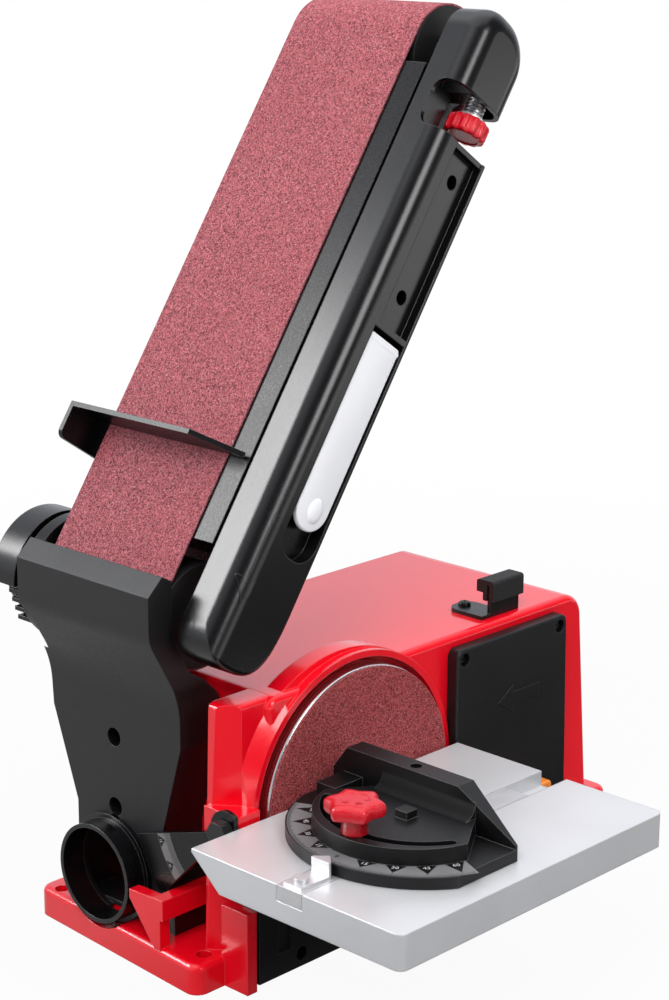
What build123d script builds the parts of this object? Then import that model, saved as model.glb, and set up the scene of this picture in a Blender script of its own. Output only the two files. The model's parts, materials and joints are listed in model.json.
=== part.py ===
from build123d import *
import os
from math import acos, atan2, cos, hypot, pi, radians, sin, tan

os.makedirs("parts", exist_ok=True)

# Belt and disc bench sander, in millimetres and degrees, with the belt arm raised as in use.
# Origin: underside of the base, at the centre of its four bolt holes.
# +X runs along the housing to the switch end, the disc faces -Y and +Z is up.

# Base and housing
bolt_span_x = 344.0
bolt_span_y = 124.0
bolt_hole_d = 9.0
foot_margin_x = 16.0
foot_margin_y = 10.5
foot_height = 18.0
foot_round = 8.0
foot_taper = 10.0
foot_back = 4.5
foot_skin = 10.0
axis_drop = 72.0
axis_offset_x = 69.0
face_offset_y = 86.0
wall = 5.0
housing_height = 165.0
housing_left = 68.0
housing_right = 212.0
housing_draft = 15.0
housing_depth = 143.0
housing_round = 16.0
edge_round = 4.0
front_setback = 7.0
corner_reach = 26.0
corner_flare = 5.0
corner_setback = 4.0
corner_depth = 17.0
corner_cut_x = 9.0
corner_cut_back = 3.0
corner_cut_y = 15.0
column_width = 7.4
column_left = 97.0
column_height = 49.0
column_reach = 12.0
plate_t = 2.0
plate_lift = 4.0
boss_r = 6.0
fit_gap = 0.2

# Sanding disc and its shroud
disc_d = 150.0
paper_t = 1.2
disc_plate_t = 12.0
disc_hub_r = 20.0
shroud_gap = 4.0
shroud_wall = 4.0
shroud_setback = 5.0
pocket_gap = 4.0
pocket_floor_t = 11.0
flare_width = 9.0
flare_inset = 55.0
flare_low = 20.0
flare_back = 12.0
flare_shift_x = 6.0
flare_shift_z = 6.7
guard_t = 3.0
guard_reach = 6.0
guard_top_drop = 41.0
guard_bottom = 4.0
guard_rib = 5.0
guard_left = 88.6
guard_right = 80.5
guard_screw_x = 55.0

# Screws shared by the casings
screw_r = 2.0
screw_head_r = 4.0
screw_head_t = 2.6
screw_bite = 7.0
screw_gap = 0.05

# Motor
shaft_r = 7.5
stator_r = 54.0
stator_length = 56.0
stator_bore_gap = 0.8
rotor_r = 32.0
winding_length = 9.0
winding_t = 12.0
bell_t = 6.0
bell_rim_t = 4.0
bearing_r = 16.0
bearing_length = 11.0
bearing_gap = 0.03
fan_r = 40.0
fan_t = 3.0
fan_blade_h = 4.0
fan_blade_count = 9
tie_bolt_r = 2.5
tie_bolt_ring = 50.5
capacitor_r = 17.0
capacitor_height = 58.0
gland_r = 9.0
gland_bore_r = 4.0
gland_length = 12.0
gland_inset = 45.0
gland_drop = 55.0

# Belt drive behind the housing
pivot_left = 73.0
pivot_rise = 110.5
drive_standoff = 20.0
bracket_t = 5.0
bracket_r = 31.0
bracket_neck_r = 26.0
boss_out_r = 20.0
drive_cover_r = 38.0
drive_cover_skirt = 0.5
drive_neck_r = 27.0
drive_cover_low_r = 18.5
drive_cover_depth = 20.0
drive_cover_t = 2.2
rib_count = 4
rib_t = 2.6
rib_pitch = 6.0
rib_drop = 8.0
rib_reach = 28.5
rib_slope = 0.34
drive_pulley_r = 10.5
driven_pulley_r = 20.2
pulley_width = 12.0
pulley_flange = 2.0
toothed_belt_t = 2.5
belt_gap = 0.3
drive_shaft_r = 6.0
drive_bearing_r = 13.0
drive_bearing_length = 8.0
drive_screw_ring = 23.5
drive_cover_screws = (38.0, 92.0)

# Sanding belt and drums
belt_width = 100.0
belt_length = 915.0
belt_t = 1.2
belt_setback = 57.0
drum_r = 30.1
drum_overhang = 1.0
drum_wall = 5.0
arm_angle = 55.8

# Arm: frame, platen and side cover
platen_low = 36.0
platen_length = 304.0
platen_t = 2.4
platen_front = 16.0
platen_back = -1.0
frame_side_t = 5.0
frame_front_gap = 13.0
frame_back_gap = 4.0
frame_low = 40.0
frame_high = 300.0
frame_deck_t = 5.0
frame_web_t = 4.0
frame_drop = 20.0
frame_side_v = 18.0
hub_gap = 0.4
cover_depth = 28.0
cover_back_gap = 20.0
cover_low = 26.0
cover_high = 383.0
cover_thick = 50.0
cover_nose_reach = 44.0
cover_nose_v = 10.0
cover_heel_reach = 22.0
cover_tail_r = 27.0
cover_top_r = 18.0
cover_edge = 3.0
cover_round = 12.0
cover_t = 3.0
rim_t = 4.0
recess_top_v = 12.5
recess_depth = 5.5
recess_low = 187.0
recess_high = 301.0
cover_screw_u = (208.0, 282.0)
cover_screw_v = -2.0
screw_well_r = 4.2
stop_u = 88.0
stop_t = 3.0
stop_rise = 22.0
stop_gap = 2.0
stop_tip = 26.0
stop_screw_v = 8.0
stop_flange = 21.0

# Belt tension lever and tracking knob
lever_low = 63.0
lever_high = 180.5
lever_width = 27.0
lever_t = 3.2
lever_sunk = 0.6
lever_pin_r = 2.0
lever_barrel_r = 3.0
lever_pin_from_end = 3.4
pocket_low = 45.0
pocket_gap_v = 1.0
pocket_depth = 8.8
carriage_low = 312.0
carriage_high = 326.0
carriage_half = 12.0
carriage_arm_t = 5.0
carriage_tip = 12.0
guide_rod_r = 5.0
guide_rod_inset = 28.0
guide_rod_high = 320.0
spring_wire_r = 1.4
spring_coil_r = 8.0
spring_turn_count = 3
axle_r = 6.0
idler_bearing_r = 13.0
idler_bearing_length = 8.0
track_u = 311.5
track_v = -3.0
track_setback = 22.0
track_knob_r = 13.0
track_knob_t = 11.0
track_lobe_count = 10
track_lobe_r = 2.2
track_stud_r = 3.0
track_nut_gap = 13.5
track_nut_length = 12.0
notch_low = 301.0
notch_high = 330.5
notch_top_v = 14.0
scoop_depth = 18.0
scoop_round = 8.0
scoop_back_high = 328.0

# Belt dust hood and dust port
hood_wall = 3.0
hood_y0 = 46.0
hood_y1 = 158.5
hood_reach = 48.0
hood_top = 33.3
hood_lip_x = 37.5
hood_lip_drop = 9.8
hood_knee = -2.5
hood_knee_r = 24.0
hood_crease = -41.5
hood_crease_r = 55.0
hood_waist_r = 16.0
hood_plate = 26.0
hood_side_x = 30.5
hood_side_drop = 3.8
hood_hip = 45.0
hood_hip_r = 14.0
hood_taper_z = 40.0
hood_taper_low = -15.0
hood_taper_front = 16.0
hood_taper_back = 22.5
hood_taper_high = 2.5
hood_clear_r = 46.0
hood_screw_y = 102.4
hood_screw_z = (33.0, -10.0)
hood_well_r = 5.6
hood_well_floor = 6.0
port_y = 105.0
port_z = -48.0
port_r = 30.0
port_wall = 2.5
port_length = 15.5
port_flange_r = 33.0
port_flange_t = 3.0
duct_width = 26.0
duct_height = 40.0
duct_wall = 2.0
duct_lift = 8.0
duct_length = 104.0
duct_gate_y = 45.0
hood_toe_y = 52.6
hood_toe_top = -44.0
post_y = 46.0
post_foot = 5.0
post_head = 27.3
post_t = 7.5
post_inset = 2.5
bar_y = 43.5
bar_width = 8.5
bar_top = 45.0
bar_height = 12.5

# Disc table, tilt sector and lock knob
table_top = 8.0
table_t = 20.0
table_gap = 2.5
table_depth = 152.0
table_left = 136.0
table_right = 82.0
table_lip = 2.0
table_bevel = 21.5
table_corner_r = 5.0
table_pocket_depth = 8.0
table_rib = 6.0
slot_from_edge = 74.0
slot_width = 18.4
slot_depth = 9.0
tilt_y = 6.0
tilt_z = 4.5
lug_width = 17.0
lug_height = 17.0
sector_r = 76.5
sector_root_r = 30.0
sector_root_low = -88.0
sector_t = 3.0
sector_hub_r = 12.0
hub_clear = 1.5
sector_gap = 0.6
sector_low_angle = -45.8
sector_high_angle = -17.5
tilt_pin_r = 4.0
table_knob_r = 8.0
table_knob_t = 7.0
table_knob_flat_count = 6
table_knob_gap = 0.5

# Mitre gauge
bar_gap = 0.2
bar_right = 48.0
gauge_pivot_left = 35.0
gauge_lift = 0.3
gauge_t = 6.7
gauge_r = 73.5
gauge_step_r = 53.8
gauge_step_shift = 7.5
gauge_step_root = 33.7
gauge_step_flare = 33.7
gauge_step = 9.5
gauge_lug_front = 15.6
gauge_lug_from = 49.0
gauge_lug_to = 63.5
gauge_slot_r = 52.0
gauge_slot_width = 5.6
gauge_swing = 60.0
fence_front = 6.5
fence_t = 13.0
fence_cut = 11.5
fence_foot_r = 9.0
wedge_front = 21.5
wedge_side = 9.5
wedge_size = 8.5
wedge_height = 4.5
fence_top = 31.0
fence_end = 9.0
fence_near = 71.5
fence_far = 62.0
fence_near_slope = 10.5
fence_far_slope = 41.0
fence_hole_r = 3.5
fence_hole_depth = 14.0
gauge_pin_r = 4.0
gauge_stud_r = 2.5
gauge_stem_r = 7.5
gauge_stem_h = 10.1
gauge_knob_r = 17.0
gauge_knob_t = 9.0
gauge_lobe_count = 6
gauge_lobe_r = 7.2
pointer_t = 1.5
pointer_width = 13.0
pointer_foot = 22.0
pointer_gap = 3.0
pointer_screw = 6.5

# Switch panel, switch and arm rest
panel_left = 82.6
panel_right = 187.5
panel_draft = 4.0
panel_top = 65.0
panel_bottom = 6.0
panel_proud = 8.0
panel_t = 3.0
panel_round = 5.0
panel_screw_inset = 7.0
switch_x = 140.0
switch_z = -57.0
switch_width = 44.0
switch_height = 42.0
switch_proud = 12.0
switch_depth = 30.0
switch_rim = 3.0
button_r = 8.0
button_gap = 0.3
button_pitch = 20.0
button_proud = 4.0
button_length = 12.0
rest_x = 130.0
rest_length = 27.0
rest_y = 14.0
rest_t = 2.5
rest_foot = 29.0
rest_foot_left = 8.0
rest_foot_right = 12.0
rest_screw_y = 23.0
rest_screw_x = 2.5
rest_level = 1.0
pad_height = 13.0
pad_back = 8.0
pad_back_height = 8.0
pad_wall = 3.0
rest_gap = 0.3

# Places worked out from the sizes above
ax = -axis_offset_x
az = housing_height - axis_drop
fy = -face_offset_y
front_y = fy + front_setback
back_y = front_y + housing_depth
left_x = ax - housing_left
right_x = ax + housing_right
corner_y0 = front_y + corner_setback
corner_y1 = corner_y0 + corner_depth
corner_x = left_x - corner_reach
shroud_r = disc_d / 2 + shroud_gap
shroud_y = fy + shroud_setback
plate_back = fy + paper_t + disc_plate_t
pocket_floor = plate_back + pocket_gap
motor_y0 = pocket_floor + pocket_floor_t
motor_y1 = back_y - wall
stator_y0 = (motor_y0 + motor_y1 - stator_length) / 2
stator_y1 = stator_y0 + stator_length
dx = ax - pivot_left
dz = az + pivot_rise
bracket_y = back_y + drive_standoff
cover_y = bracket_y + bracket_t
drive_cover_seat = cover_y + screw_bite - bracket_t + 2
pulley_y0 = cover_y + pulley_flange
pulley_y1 = pulley_y0 + pulley_width
belt_y0 = fy + belt_setback
belt_y1 = belt_y0 + belt_width
drum_y0 = belt_y0 - drum_overhang
drum_y1 = belt_y1 + drum_overhang
belt_in_r = drum_r + belt_gap
belt_out_r = belt_in_r + belt_t
idler_u = (belt_length - 2 * pi * (belt_in_r + belt_t / 2)) / 2
frame_y0 = belt_y0 - frame_front_gap
frame_y1 = frame_y0 - frame_side_t
frame_y2 = belt_y1 + frame_back_gap
frame_y3 = frame_y2 + frame_side_t
platen_v = belt_in_r - belt_gap
deck_v = platen_v - platen_t
sidecover_y1 = belt_y0 - cover_back_gap
sidecover_y0 = sidecover_y1 - cover_depth
cover_top_v = belt_out_r
cover_low_v = cover_top_v - cover_thick
table_z = az + table_top
table_y0 = fy - table_gap
table_y1 = table_y0 - table_depth
slot_y = table_y0 - slot_from_edge
gauge_x = ax - gauge_pivot_left
gauge_z = table_z + gauge_lift
tilt_at = (fy + tilt_y, az + tilt_z)
track_nut_low = track_u + track_knob_t + track_nut_gap
gland_at = (right_x - gland_inset, az - gland_drop)
arm = Pos(dx, 0, dz) * Rot(0, -arm_angle, 0)


def block(x, y, z):
    """Box between two limits on each axis."""
    middle = Pos(sum(x) / 2, sum(y) / 2, sum(z) / 2)
    return middle * Box(abs(x[1] - x[0]), abs(y[1] - y[0]), abs(z[1] - z[0]))


def rod(axis, at, r, span):
    """Round bar along one axis, at the two other coordinates in order."""
    length = abs(span[1] - span[0])
    middle = sum(span) / 2
    if axis == "x":
        return Pos(middle, at[0], at[1]) * Rot(0, 90, 0) * Cylinder(r, length)
    if axis == "y":
        return Pos(at[0], middle, at[1]) * Rot(90, 0, 0) * Cylinder(r, length)
    return Pos(at[0], at[1], middle) * Cylinder(r, length)


def tube(axis, at, r_out, r_in, span):
    """Round bar with a bore right through it."""
    return rod(axis, at, r_out, span) - rod(axis, at, r_in, span)


def slab_y(face, span):
    """Face drawn in X and Z, thickened along Y."""
    return extrude(Plane.XZ.offset(-span[1]) * face, amount=span[1] - span[0])


def slab_x(face, span):
    """Face drawn in Y and Z, thickened along X."""
    return extrude(Plane.YZ.offset(span[0]) * face, amount=span[1] - span[0])


def slab_z(face, span):
    """Face drawn in X and Y, thickened along Z."""
    return extrude(Plane.XY.offset(span[0]) * face, amount=span[1] - span[0])


def outline(points, rounds=()):
    """Closed polygon, with the corners named in rounds (index, radius) made round."""
    face = make_face(Polyline(*points, close=True))
    for index, radius in rounds:
        corner = face.vertices().sort_by_distance(Vector(*points[index], 0))[0]
        face = fillet(corner, radius)
    return face


def spot(p, face):
    """Face moved to a point of its own plane."""
    return Pos(p[0], p[1]) * face


def wrap(p, rp, q, rq):
    """Area inside a band stretched round two circles."""
    base = atan2(q[1] - p[1], q[0] - p[0])
    lean = acos((rp - rq) / hypot(q[0] - p[0], q[1] - p[1]))
    sides = []
    for turn in (base + lean, base - lean):
        step = (cos(turn), sin(turn))
        sides.append([(c[0] + r * step[0], c[1] + r * step[1]) for c, r in ((p, rp), (q, rq))])
    middle = make_face(Polyline(*sides[0], *reversed(sides[1]), close=True))
    return spot(p, Circle(rp)) + spot(q, Circle(rq)) + middle


def lobed(r, lobe_r, count, thickness):
    """Knob head with hollows between its lobes, standing on the XY plane."""
    head = Pos(0, 0, thickness / 2) * Cylinder(r, thickness)
    for i in range(count):
        turn = 2 * pi * (i + 0.5) / count
        reach = r + lobe_r * 0.45
        hollow = Cylinder(lobe_r, thickness + 2)
        head -= Pos(reach * cos(turn), reach * sin(turn), thickness / 2) * hollow
    return head


def screw(axis, at, seat, inward):
    """Pan head screw whose head stands on the seat, with its shank going inward (+1 or -1)."""
    head = rod(axis, at, screw_head_r, (seat - inward * screw_head_t, seat))
    return head + rod(axis, at, screw_r, (seat, seat + inward * screw_bite))


def screw_hole(axis, at, seat, inward):
    """Clearance for a screw's shank."""
    return rod(axis, at, screw_r + screw_gap, (seat - inward, seat + inward * (screw_bite + 1)))


def edges_at(shape, axis, value):
    """Edges that lie in one plane across an axis."""
    spread = 1e-4
    return shape.edges().filter_by_position(axis, value - spread, value + spread)


# Where each casing screw stands: axis, place, seat, direction
panel_spots = []
for px in (ax + panel_left + panel_screw_inset, ax + panel_right - panel_screw_inset):
    for pz in (panel_bottom + panel_screw_inset, az + panel_top - panel_screw_inset):
        panel_spots.append(("y", (px, pz), front_y - panel_t, 1))
hood_seat = left_x - hood_well_floor
hood_spots = [("x", (fy + hood_screw_y, az + z), hood_seat, 1) for z in hood_screw_z]
rest_spot = ("z", (ax + rest_x + rest_screw_x, fy + rest_y + rest_screw_y), housing_height + rest_t, -1)
floor_spots = []
boss_inset = wall + boss_r - 1
for px in (left_x + boss_inset, right_x + housing_draft * 0.75 - boss_inset):
    for py in (front_y + boss_inset + wall, back_y - boss_inset):
        floor_spots.append(("z", (px, py), plate_lift, 1))
guard_spots = []
for side in (-1, 1):
    guard_spots.append(("y", (ax + side * guard_screw_x, guard_bottom + 8), front_y - guard_t, 1))
drive_spots = []
for turn in (230, 303, 17):
    at = (ax + drive_screw_ring * cos(radians(turn)), az + drive_screw_ring * sin(radians(turn)))
    drive_spots.append(("y", at, cover_y, -1))
casing_spots = panel_spots + hood_spots + [rest_spot] + floor_spots + guard_spots


# Housing casting
def foot_plan(half_x, half_y):
    """Plan of the foot, whose left end narrows towards the back."""
    back = half_y + foot_back
    return outline([(-half_x, -half_y), (half_x, -half_y), (half_x, back), (-half_x + foot_taper, back)])


def make_housing():
    low = -20.0
    spread = housing_draft * (1 - low / housing_height)
    face = outline([(left_x, low), (right_x + spread, low), (right_x, housing_height),
                    (left_x, housing_height)],
                   [(2, housing_round), (3, edge_round + 3)])
    shell = slab_y(face, (front_y, back_y))
    shell = fillet(edges_at(shell, Axis.Y, front_y), edge_round)
    foot_x = bolt_span_x / 2 + foot_margin_x
    foot_y = bolt_span_y / 2 + foot_margin_y
    corner = slab_y(outline([(left_x + wall, low), (corner_x - corner_flare, low),
                             (corner_x, housing_height), (left_x + wall, housing_height)],
                            [(2, edge_round)]), (corner_y0, corner_y1))
    corner = fillet(edges_at(corner, Axis.Y, corner_y0), 3)
    run = corner_cut_x + corner_cut_back
    cut = outline([(corner_x + corner_cut_x + run * 0.2, corner_y0 - corner_cut_y * 0.2),
                   (corner_x + corner_cut_x - run * 1.1, corner_y0 + corner_cut_y * 1.1),
                   (corner_x - corner_reach, corner_y0 + corner_cut_y * 1.1),
                   (corner_x - corner_reach, corner_y0 - corner_cut_y * 0.2)])
    shell += corner - slab_z(cut, (low - 1, housing_height + 1))
    flare_r = shroud_r + shroud_wall
    flare_h = corner_y0 - shroud_y
    flare = Rot(90, 0, 0) * Cone(flare_r + flare_width, flare_r, flare_h)
    flare = Pos(ax, shroud_y + flare_h / 2, az) * flare
    shell += flare & block((corner_x + corner_cut_x, ax - flare_inset), (shroud_y, corner_y0),
                           (az - flare_low, housing_height))
    rise = rod("y", (ax - flare_shift_x, az - flare_shift_z), flare_r + flare_width,
               (corner_y0, corner_y0 + flare_back))
    shell += rise & block((corner_x + corner_cut_x, ax + flare_r / 2), (shroud_y, corner_y0 + flare_back),
                          (az - flare_low, az + flare_r + flare_width))
    shell += rod("y", (ax, az), flare_r, (shroud_y, motor_y0))
    column_x = ax - column_left
    shell += block((column_x, column_x + column_width), (front_y - column_reach, corner_y0 + wall),
                   (0, column_height))
    lug = (dx - hood_plate, dx - hood_plate + lug_width)
    lug_z = az + tilt_z
    shell += block(lug, (fy, corner_y1 - 1), (lug_z - lug_height / 2, lug_z + lug_height / 2))
    plan = foot_plan(foot_x, foot_y)
    feet = slab_z(plan, (0, foot_height))
    feet = fillet(feet.edges().filter_by(Axis.Z), foot_round)
    feet = fillet(edges_at(feet, Axis.Z, foot_height), foot_round / 2)
    outer = feet
    feet -= slab_z(offset(plan, -wall), (-1, foot_height - foot_skin))
    bolts = [(side * bolt_span_x / 2, end * bolt_span_y / 2) for side in (-1, 1) for end in (-1, 1)]
    for at in bolts:
        feet += rod("z", at, bolt_hole_d, (0, foot_height - 1)) & outer
    shell += feet
    shell -= block((-foot_x - 1, foot_x + 1), (fy - housing_depth, back_y + housing_depth), (low - 1, 0))
    inner = outline([(left_x + wall, -1), (right_x + housing_draft - wall, -1),
                     (right_x - wall, housing_height - wall), (left_x + wall, housing_height - wall)])
    room = slab_y(inner, (front_y + wall, back_y - wall))
    room -= rod("y", (ax, az), flare_r, (front_y, motor_y0))
    shell -= room
    shell -= block((corner_x + corner_cut_x + wall, left_x + 1), (corner_y0 + wall, corner_y1 - wall),
                   (-1, housing_height - wall))
    for kind, at, seat, inward in floor_spots:
        shell += rod("z", at, boss_r, (plate_lift + plate_t, az - stator_r + 1))
    shell -= rod("y", (ax, az), shroud_r, (shroud_y - 1, pocket_floor))
    shell -= rod("y", (ax, az), bearing_r, (pocket_floor - 1, motor_y0 + 1))
    shell -= rod("y", (ax, az), shaft_r + 3, (motor_y1 - 1, back_y + 1))
    post_z = az - bar_top
    post = outline([(0, foot_height - 1), (post_foot, foot_height - 1), (post_head, post_z - 4),
                    (post_head, post_z - 1), (0, post_z)])
    post_x = -foot_x + post_inset
    shell += slab_x(spot((fy + post_y, 0), post), (post_x, post_x + post_t))
    shell += block((post_x, left_x + 1), (fy + bar_y, fy + bar_y + bar_width),
                   (post_z - bar_height, post_z))
    shell -= rod("x", (fy + port_y, az + port_z), port_flange_r + 0.5, (-foot_x - 1, left_x - hood_plate))
    gate = block((left_x - 1, left_x + wall + 1),
                 (motor_y0 + duct_gate_y, motor_y0 + duct_length - duct_wall),
                 (duct_lift + duct_wall + foot_height, duct_lift + duct_height - duct_wall))
    shell -= gate
    mouth_z = (duct_lift + duct_height - 14, duct_lift + duct_height - 4)
    shell -= block((left_x + wall + duct_wall + 4, left_x + wall + duct_width - 2),
                   (pocket_floor - 1, motor_y0 + 1), mouth_z)
    for at in bolts:
        shell -= rod("z", at, bolt_hole_d / 2, (-1, foot_height + 1))
    shell -= rod("x", tilt_at, tilt_pin_r + screw_gap, (lug[0] - 1, lug[1] - 2))
    half_w = switch_width / 2 - switch_rim
    half_h = switch_height / 2 - switch_rim
    shell -= block((ax + switch_x - half_w, ax + switch_x + half_w), (front_y - 1, front_y + wall + 1),
                   (az + switch_z - half_h, az + switch_z + half_h))
    shell -= rod("y", gland_at, gland_r - 2, (back_y - wall - 1, back_y + 1))
    for kind, at, seat, inward in casing_spots:
        shell -= screw_hole(kind, at, seat, inward)
    for kind, at, seat, inward in drive_spots:
        shell -= rod(kind, at, screw_r + screw_gap, (motor_y1 + 1, back_y + 1))
    return shell


def make_bottom_plate():
    plate = block((left_x + wall + fit_gap, right_x + housing_draft * 0.9 - wall - fit_gap),
                  (front_y + wall + fit_gap, back_y - wall - fit_gap), (plate_lift, plate_lift + plate_t))
    plate -= rod("y", (ax, az), shroud_r + shroud_wall + fit_gap, (front_y, motor_y0 + fit_gap))
    for kind, at, seat, inward in floor_spots:
        plate -= screw_hole(kind, at, seat, inward)
    return plate


def make_casing_screws():
    screws = [screw(*s) for s in casing_spots]
    screws += [screw("y", at, drive_cover_seat, -1) for at in drive_cover_spots()]
    for kind, at, seat, inward in drive_spots:
        head = rod(kind, at, screw_head_r, (cover_y, cover_y + screw_head_t))
        screws.append(head + rod(kind, at, screw_r, (motor_y1 + 2, cover_y)))
    return Compound(children=screws)


# Disc guard below the table, switch panel and switch
def make_disc_guard():
    x = (ax - guard_left, ax + guard_right)
    ring_r = shroud_r + shroud_wall + fit_gap
    guard = block(x, (fy - guard_reach, front_y), (guard_bottom, az - guard_top_drop))
    guard -= block((x[0] + guard_t, x[1] - guard_t), (fy - guard_reach + guard_t, front_y + 1),
                   (guard_bottom + guard_t, az - guard_top_drop + 1))
    guard -= rod("y", (ax, az), ring_r, (shroud_y - fit_gap, front_y + 1))
    for groove in (x[0] + 20, x[1] - 20):
        guard -= block((groove - guard_rib, groove + guard_rib),
                       (fy - guard_reach - 1, fy - guard_reach + 1.2),
                       (guard_bottom + 14, az - guard_top_drop + 1))
    for kind, at, seat, inward in guard_spots:
        guard += rod(kind, at, boss_r, (fy - guard_reach + guard_t, front_y)) & block(
            x, (fy - guard_reach, front_y), (guard_bottom, az))
        guard -= rod(kind, at, screw_head_r + fit_gap, (fy - guard_reach - 1, seat))
        guard -= screw_hole(kind, at, seat, inward)
    return guard


def make_switch_panel():
    x = (ax + panel_left, ax + panel_right)
    z = (panel_bottom, az + panel_top)
    front = front_y - panel_proud
    side = outline([(x[0], z[0]), (x[1] + panel_draft, z[0]), (x[1], z[1]), (x[0], z[1])])
    panel = slab_y(side, (front, front_y))
    panel = fillet(panel.edges().filter_by(Axis.Y), panel_round)
    panel = fillet(edges_at(panel, Axis.Y, front), panel_t / 2)
    panel -= block((x[0] + panel_t, x[1] - panel_t), (front + panel_t, front_y + 1),
                   (z[0] + panel_t, z[1] - panel_t))
    for kind, at, seat, inward in panel_spots:
        panel += rod(kind, at, boss_r, (front + panel_t - 1, front_y)) & block(x, (front, front_y), z)
        panel -= rod(kind, at, screw_head_r + fit_gap, (front - 1, seat))
        panel -= screw_hole(kind, at, seat, inward)
    half_w = switch_width / 2 - switch_rim + fit_gap
    half_h = switch_height / 2 - switch_rim + fit_gap
    panel -= block((ax + switch_x - half_w, ax + switch_x + half_w), (front - 1, front_y + 1),
                   (az + switch_z - half_h, az + switch_z + half_h))
    panel -= rod("y", (ax, az), shroud_r + shroud_wall + fit_gap, (shroud_y - fit_gap, front_y + 1))
    return panel


def button_x(side):
    return ax + switch_x + side * button_pitch / 2


switch_front = front_y - panel_proud - switch_proud


def make_switch_body():
    x = (ax + switch_x - switch_width / 2, ax + switch_x + switch_width / 2)
    z = (az + switch_z - switch_height / 2, az + switch_z + switch_height / 2)
    frame = block(x, (switch_front, front_y - panel_proud), z)
    frame = fillet(frame.edges().filter_by(Axis.Y), switch_rim)
    frame = fillet(edges_at(frame, Axis.Y, switch_front), 1.5)
    inset = switch_rim + fit_gap
    frame += block((x[0] + inset, x[1] - inset), (front_y - panel_proud, front_y + switch_depth),
                   (z[0] + inset, z[1] - inset))
    for side in (-1, 1):
        frame -= rod("y", (button_x(side), az + switch_z), button_r + button_gap,
                     (switch_front - 1, switch_front + button_length))
    return frame


def make_button(side):
    back = switch_front - button_proud + button_length
    cap = rod("y", (button_x(side), az + switch_z), button_r, (switch_front - button_proud, back))
    return fillet(edges_at(cap, Axis.Y, switch_front - button_proud), 1.2)


# Motor inside the housing
def make_stator():
    stack = tube("y", (ax, az), stator_r, rotor_r + stator_bore_gap, (stator_y0, stator_y1))
    return stack - tie_bolt_holes()


def tie_bolt_holes():
    holes = []
    for i in range(4):
        turn = radians(45 + 90 * i)
        at = (ax + tie_bolt_ring * cos(turn), az + tie_bolt_ring * sin(turn))
        holes.append(rod("y", at, tie_bolt_r + screw_gap, (motor_y0, motor_y1 + 1)))
    return Compound(children=holes)


def make_tie_bolts():
    bolts = []
    for i in range(4):
        turn = radians(45 + 90 * i)
        at = (ax + tie_bolt_ring * cos(turn), az + tie_bolt_ring * sin(turn))
        bolts.append(rod("y", at, tie_bolt_r, (motor_y0 + 1, motor_y1 - 1)))
    return Compound(children=bolts)


def make_windings():
    inner = rotor_r + stator_bore_gap + 1
    spans = ((stator_y0 - winding_length, stator_y0), (stator_y1, stator_y1 + winding_length))
    return Compound(children=[tube("y", (ax, az), inner + winding_t, inner, s) for s in spans])


def make_bell(end_y, stator_y):
    """Cup that carries one motor bearing, from its closed end to the stator."""
    step = 1 if stator_y > end_y else -1
    cup = rod("y", (ax, az), stator_r, (end_y, stator_y))
    cup -= rod("y", (ax, az), stator_r - bell_rim_t - 3.5, (end_y + step * bell_t, stator_y + step))
    cup += rod("y", (ax, az), bearing_r + 4, (end_y, end_y + step * bearing_length))
    cup -= rod("y", (ax, az), bearing_r + bearing_gap, (end_y - step, end_y + step * (bearing_length + 1)))
    return cup - tie_bolt_holes()


def make_motor_bearings():
    spans = ((motor_y0, motor_y0 + bearing_length), (motor_y1 - bearing_length, motor_y1))
    return Compound(children=[tube("y", (ax, az), bearing_r, shaft_r + bearing_gap, s) for s in spans])


def make_capacitor():
    at = (right_x - wall - capacitor_r - 12, back_y - wall - capacitor_r - 12)
    return rod("z", at, capacitor_r, (plate_lift + plate_t, plate_lift + plate_t + capacitor_height))


def make_gland():
    at = gland_at
    gland = rod("y", at, gland_r - 2 - screw_gap, (back_y - wall - 2, back_y))
    gland += rod("y", at, gland_r, (back_y, back_y + gland_length))
    return gland - rod("y", at, gland_bore_r, (back_y - wall - 3, back_y + gland_length + 1))


def make_motor_shaft():
    shaft = rod("y", (ax, az), shaft_r, (plate_back, cover_y))
    return shaft + rod("y", (ax, az), shaft_r - 1.5, (plate_back, pulley_y1))


def make_rotor_core():
    return tube("y", (ax, az), rotor_r, shaft_r + screw_gap, (stator_y0, stator_y1))


def make_fan():
    back = motor_y1 - bearing_length - 2
    front = back - fan_t
    fan = rod("y", (ax, az), fan_r, (front, back)) + rod("y", (ax, az), 14, (front - fan_blade_h, back))
    for i in range(fan_blade_count):
        blade = block((16, fan_r - 2), (front - fan_blade_h, front + 1), (-1, 1))
        fan += Pos(ax, 0, az) * Rot(0, 360 * i / fan_blade_count, 0) * blade
    return fan - rod("y", (ax, az), shaft_r + screw_gap, (front - fan_blade_h - 1, back + 1))


# Sanding disc
def make_disc_plate():
    plate = rod("y", (ax, az), disc_d / 2, (fy + paper_t, plate_back))
    plate = fillet(edges_at(plate, Axis.Y, fy + paper_t), 1.5)
    ring = disc_d / 2 - 8
    plate -= tube("y", (ax, az), ring, disc_hub_r, (fy + paper_t + 6, plate_back + 1))
    plate += rod("y", (ax, az), disc_hub_r, (plate_back - 1, pocket_floor - 1))
    plate -= rod("y", (ax, az), shaft_r + screw_gap, (plate_back, pocket_floor + 1))
    return plate - disc_bolt(screw_gap)


def disc_bolt(gap):
    bolt = rod("y", (ax, az), 6 + gap, (fy + paper_t, fy + paper_t + 5))
    return bolt + rod("y", (ax, az), 3 + gap, (fy + paper_t + 5, plate_back))


def make_disc_paper():
    return rod("y", (ax, az), disc_d / 2 - 0.6, (fy, fy + paper_t))


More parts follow.
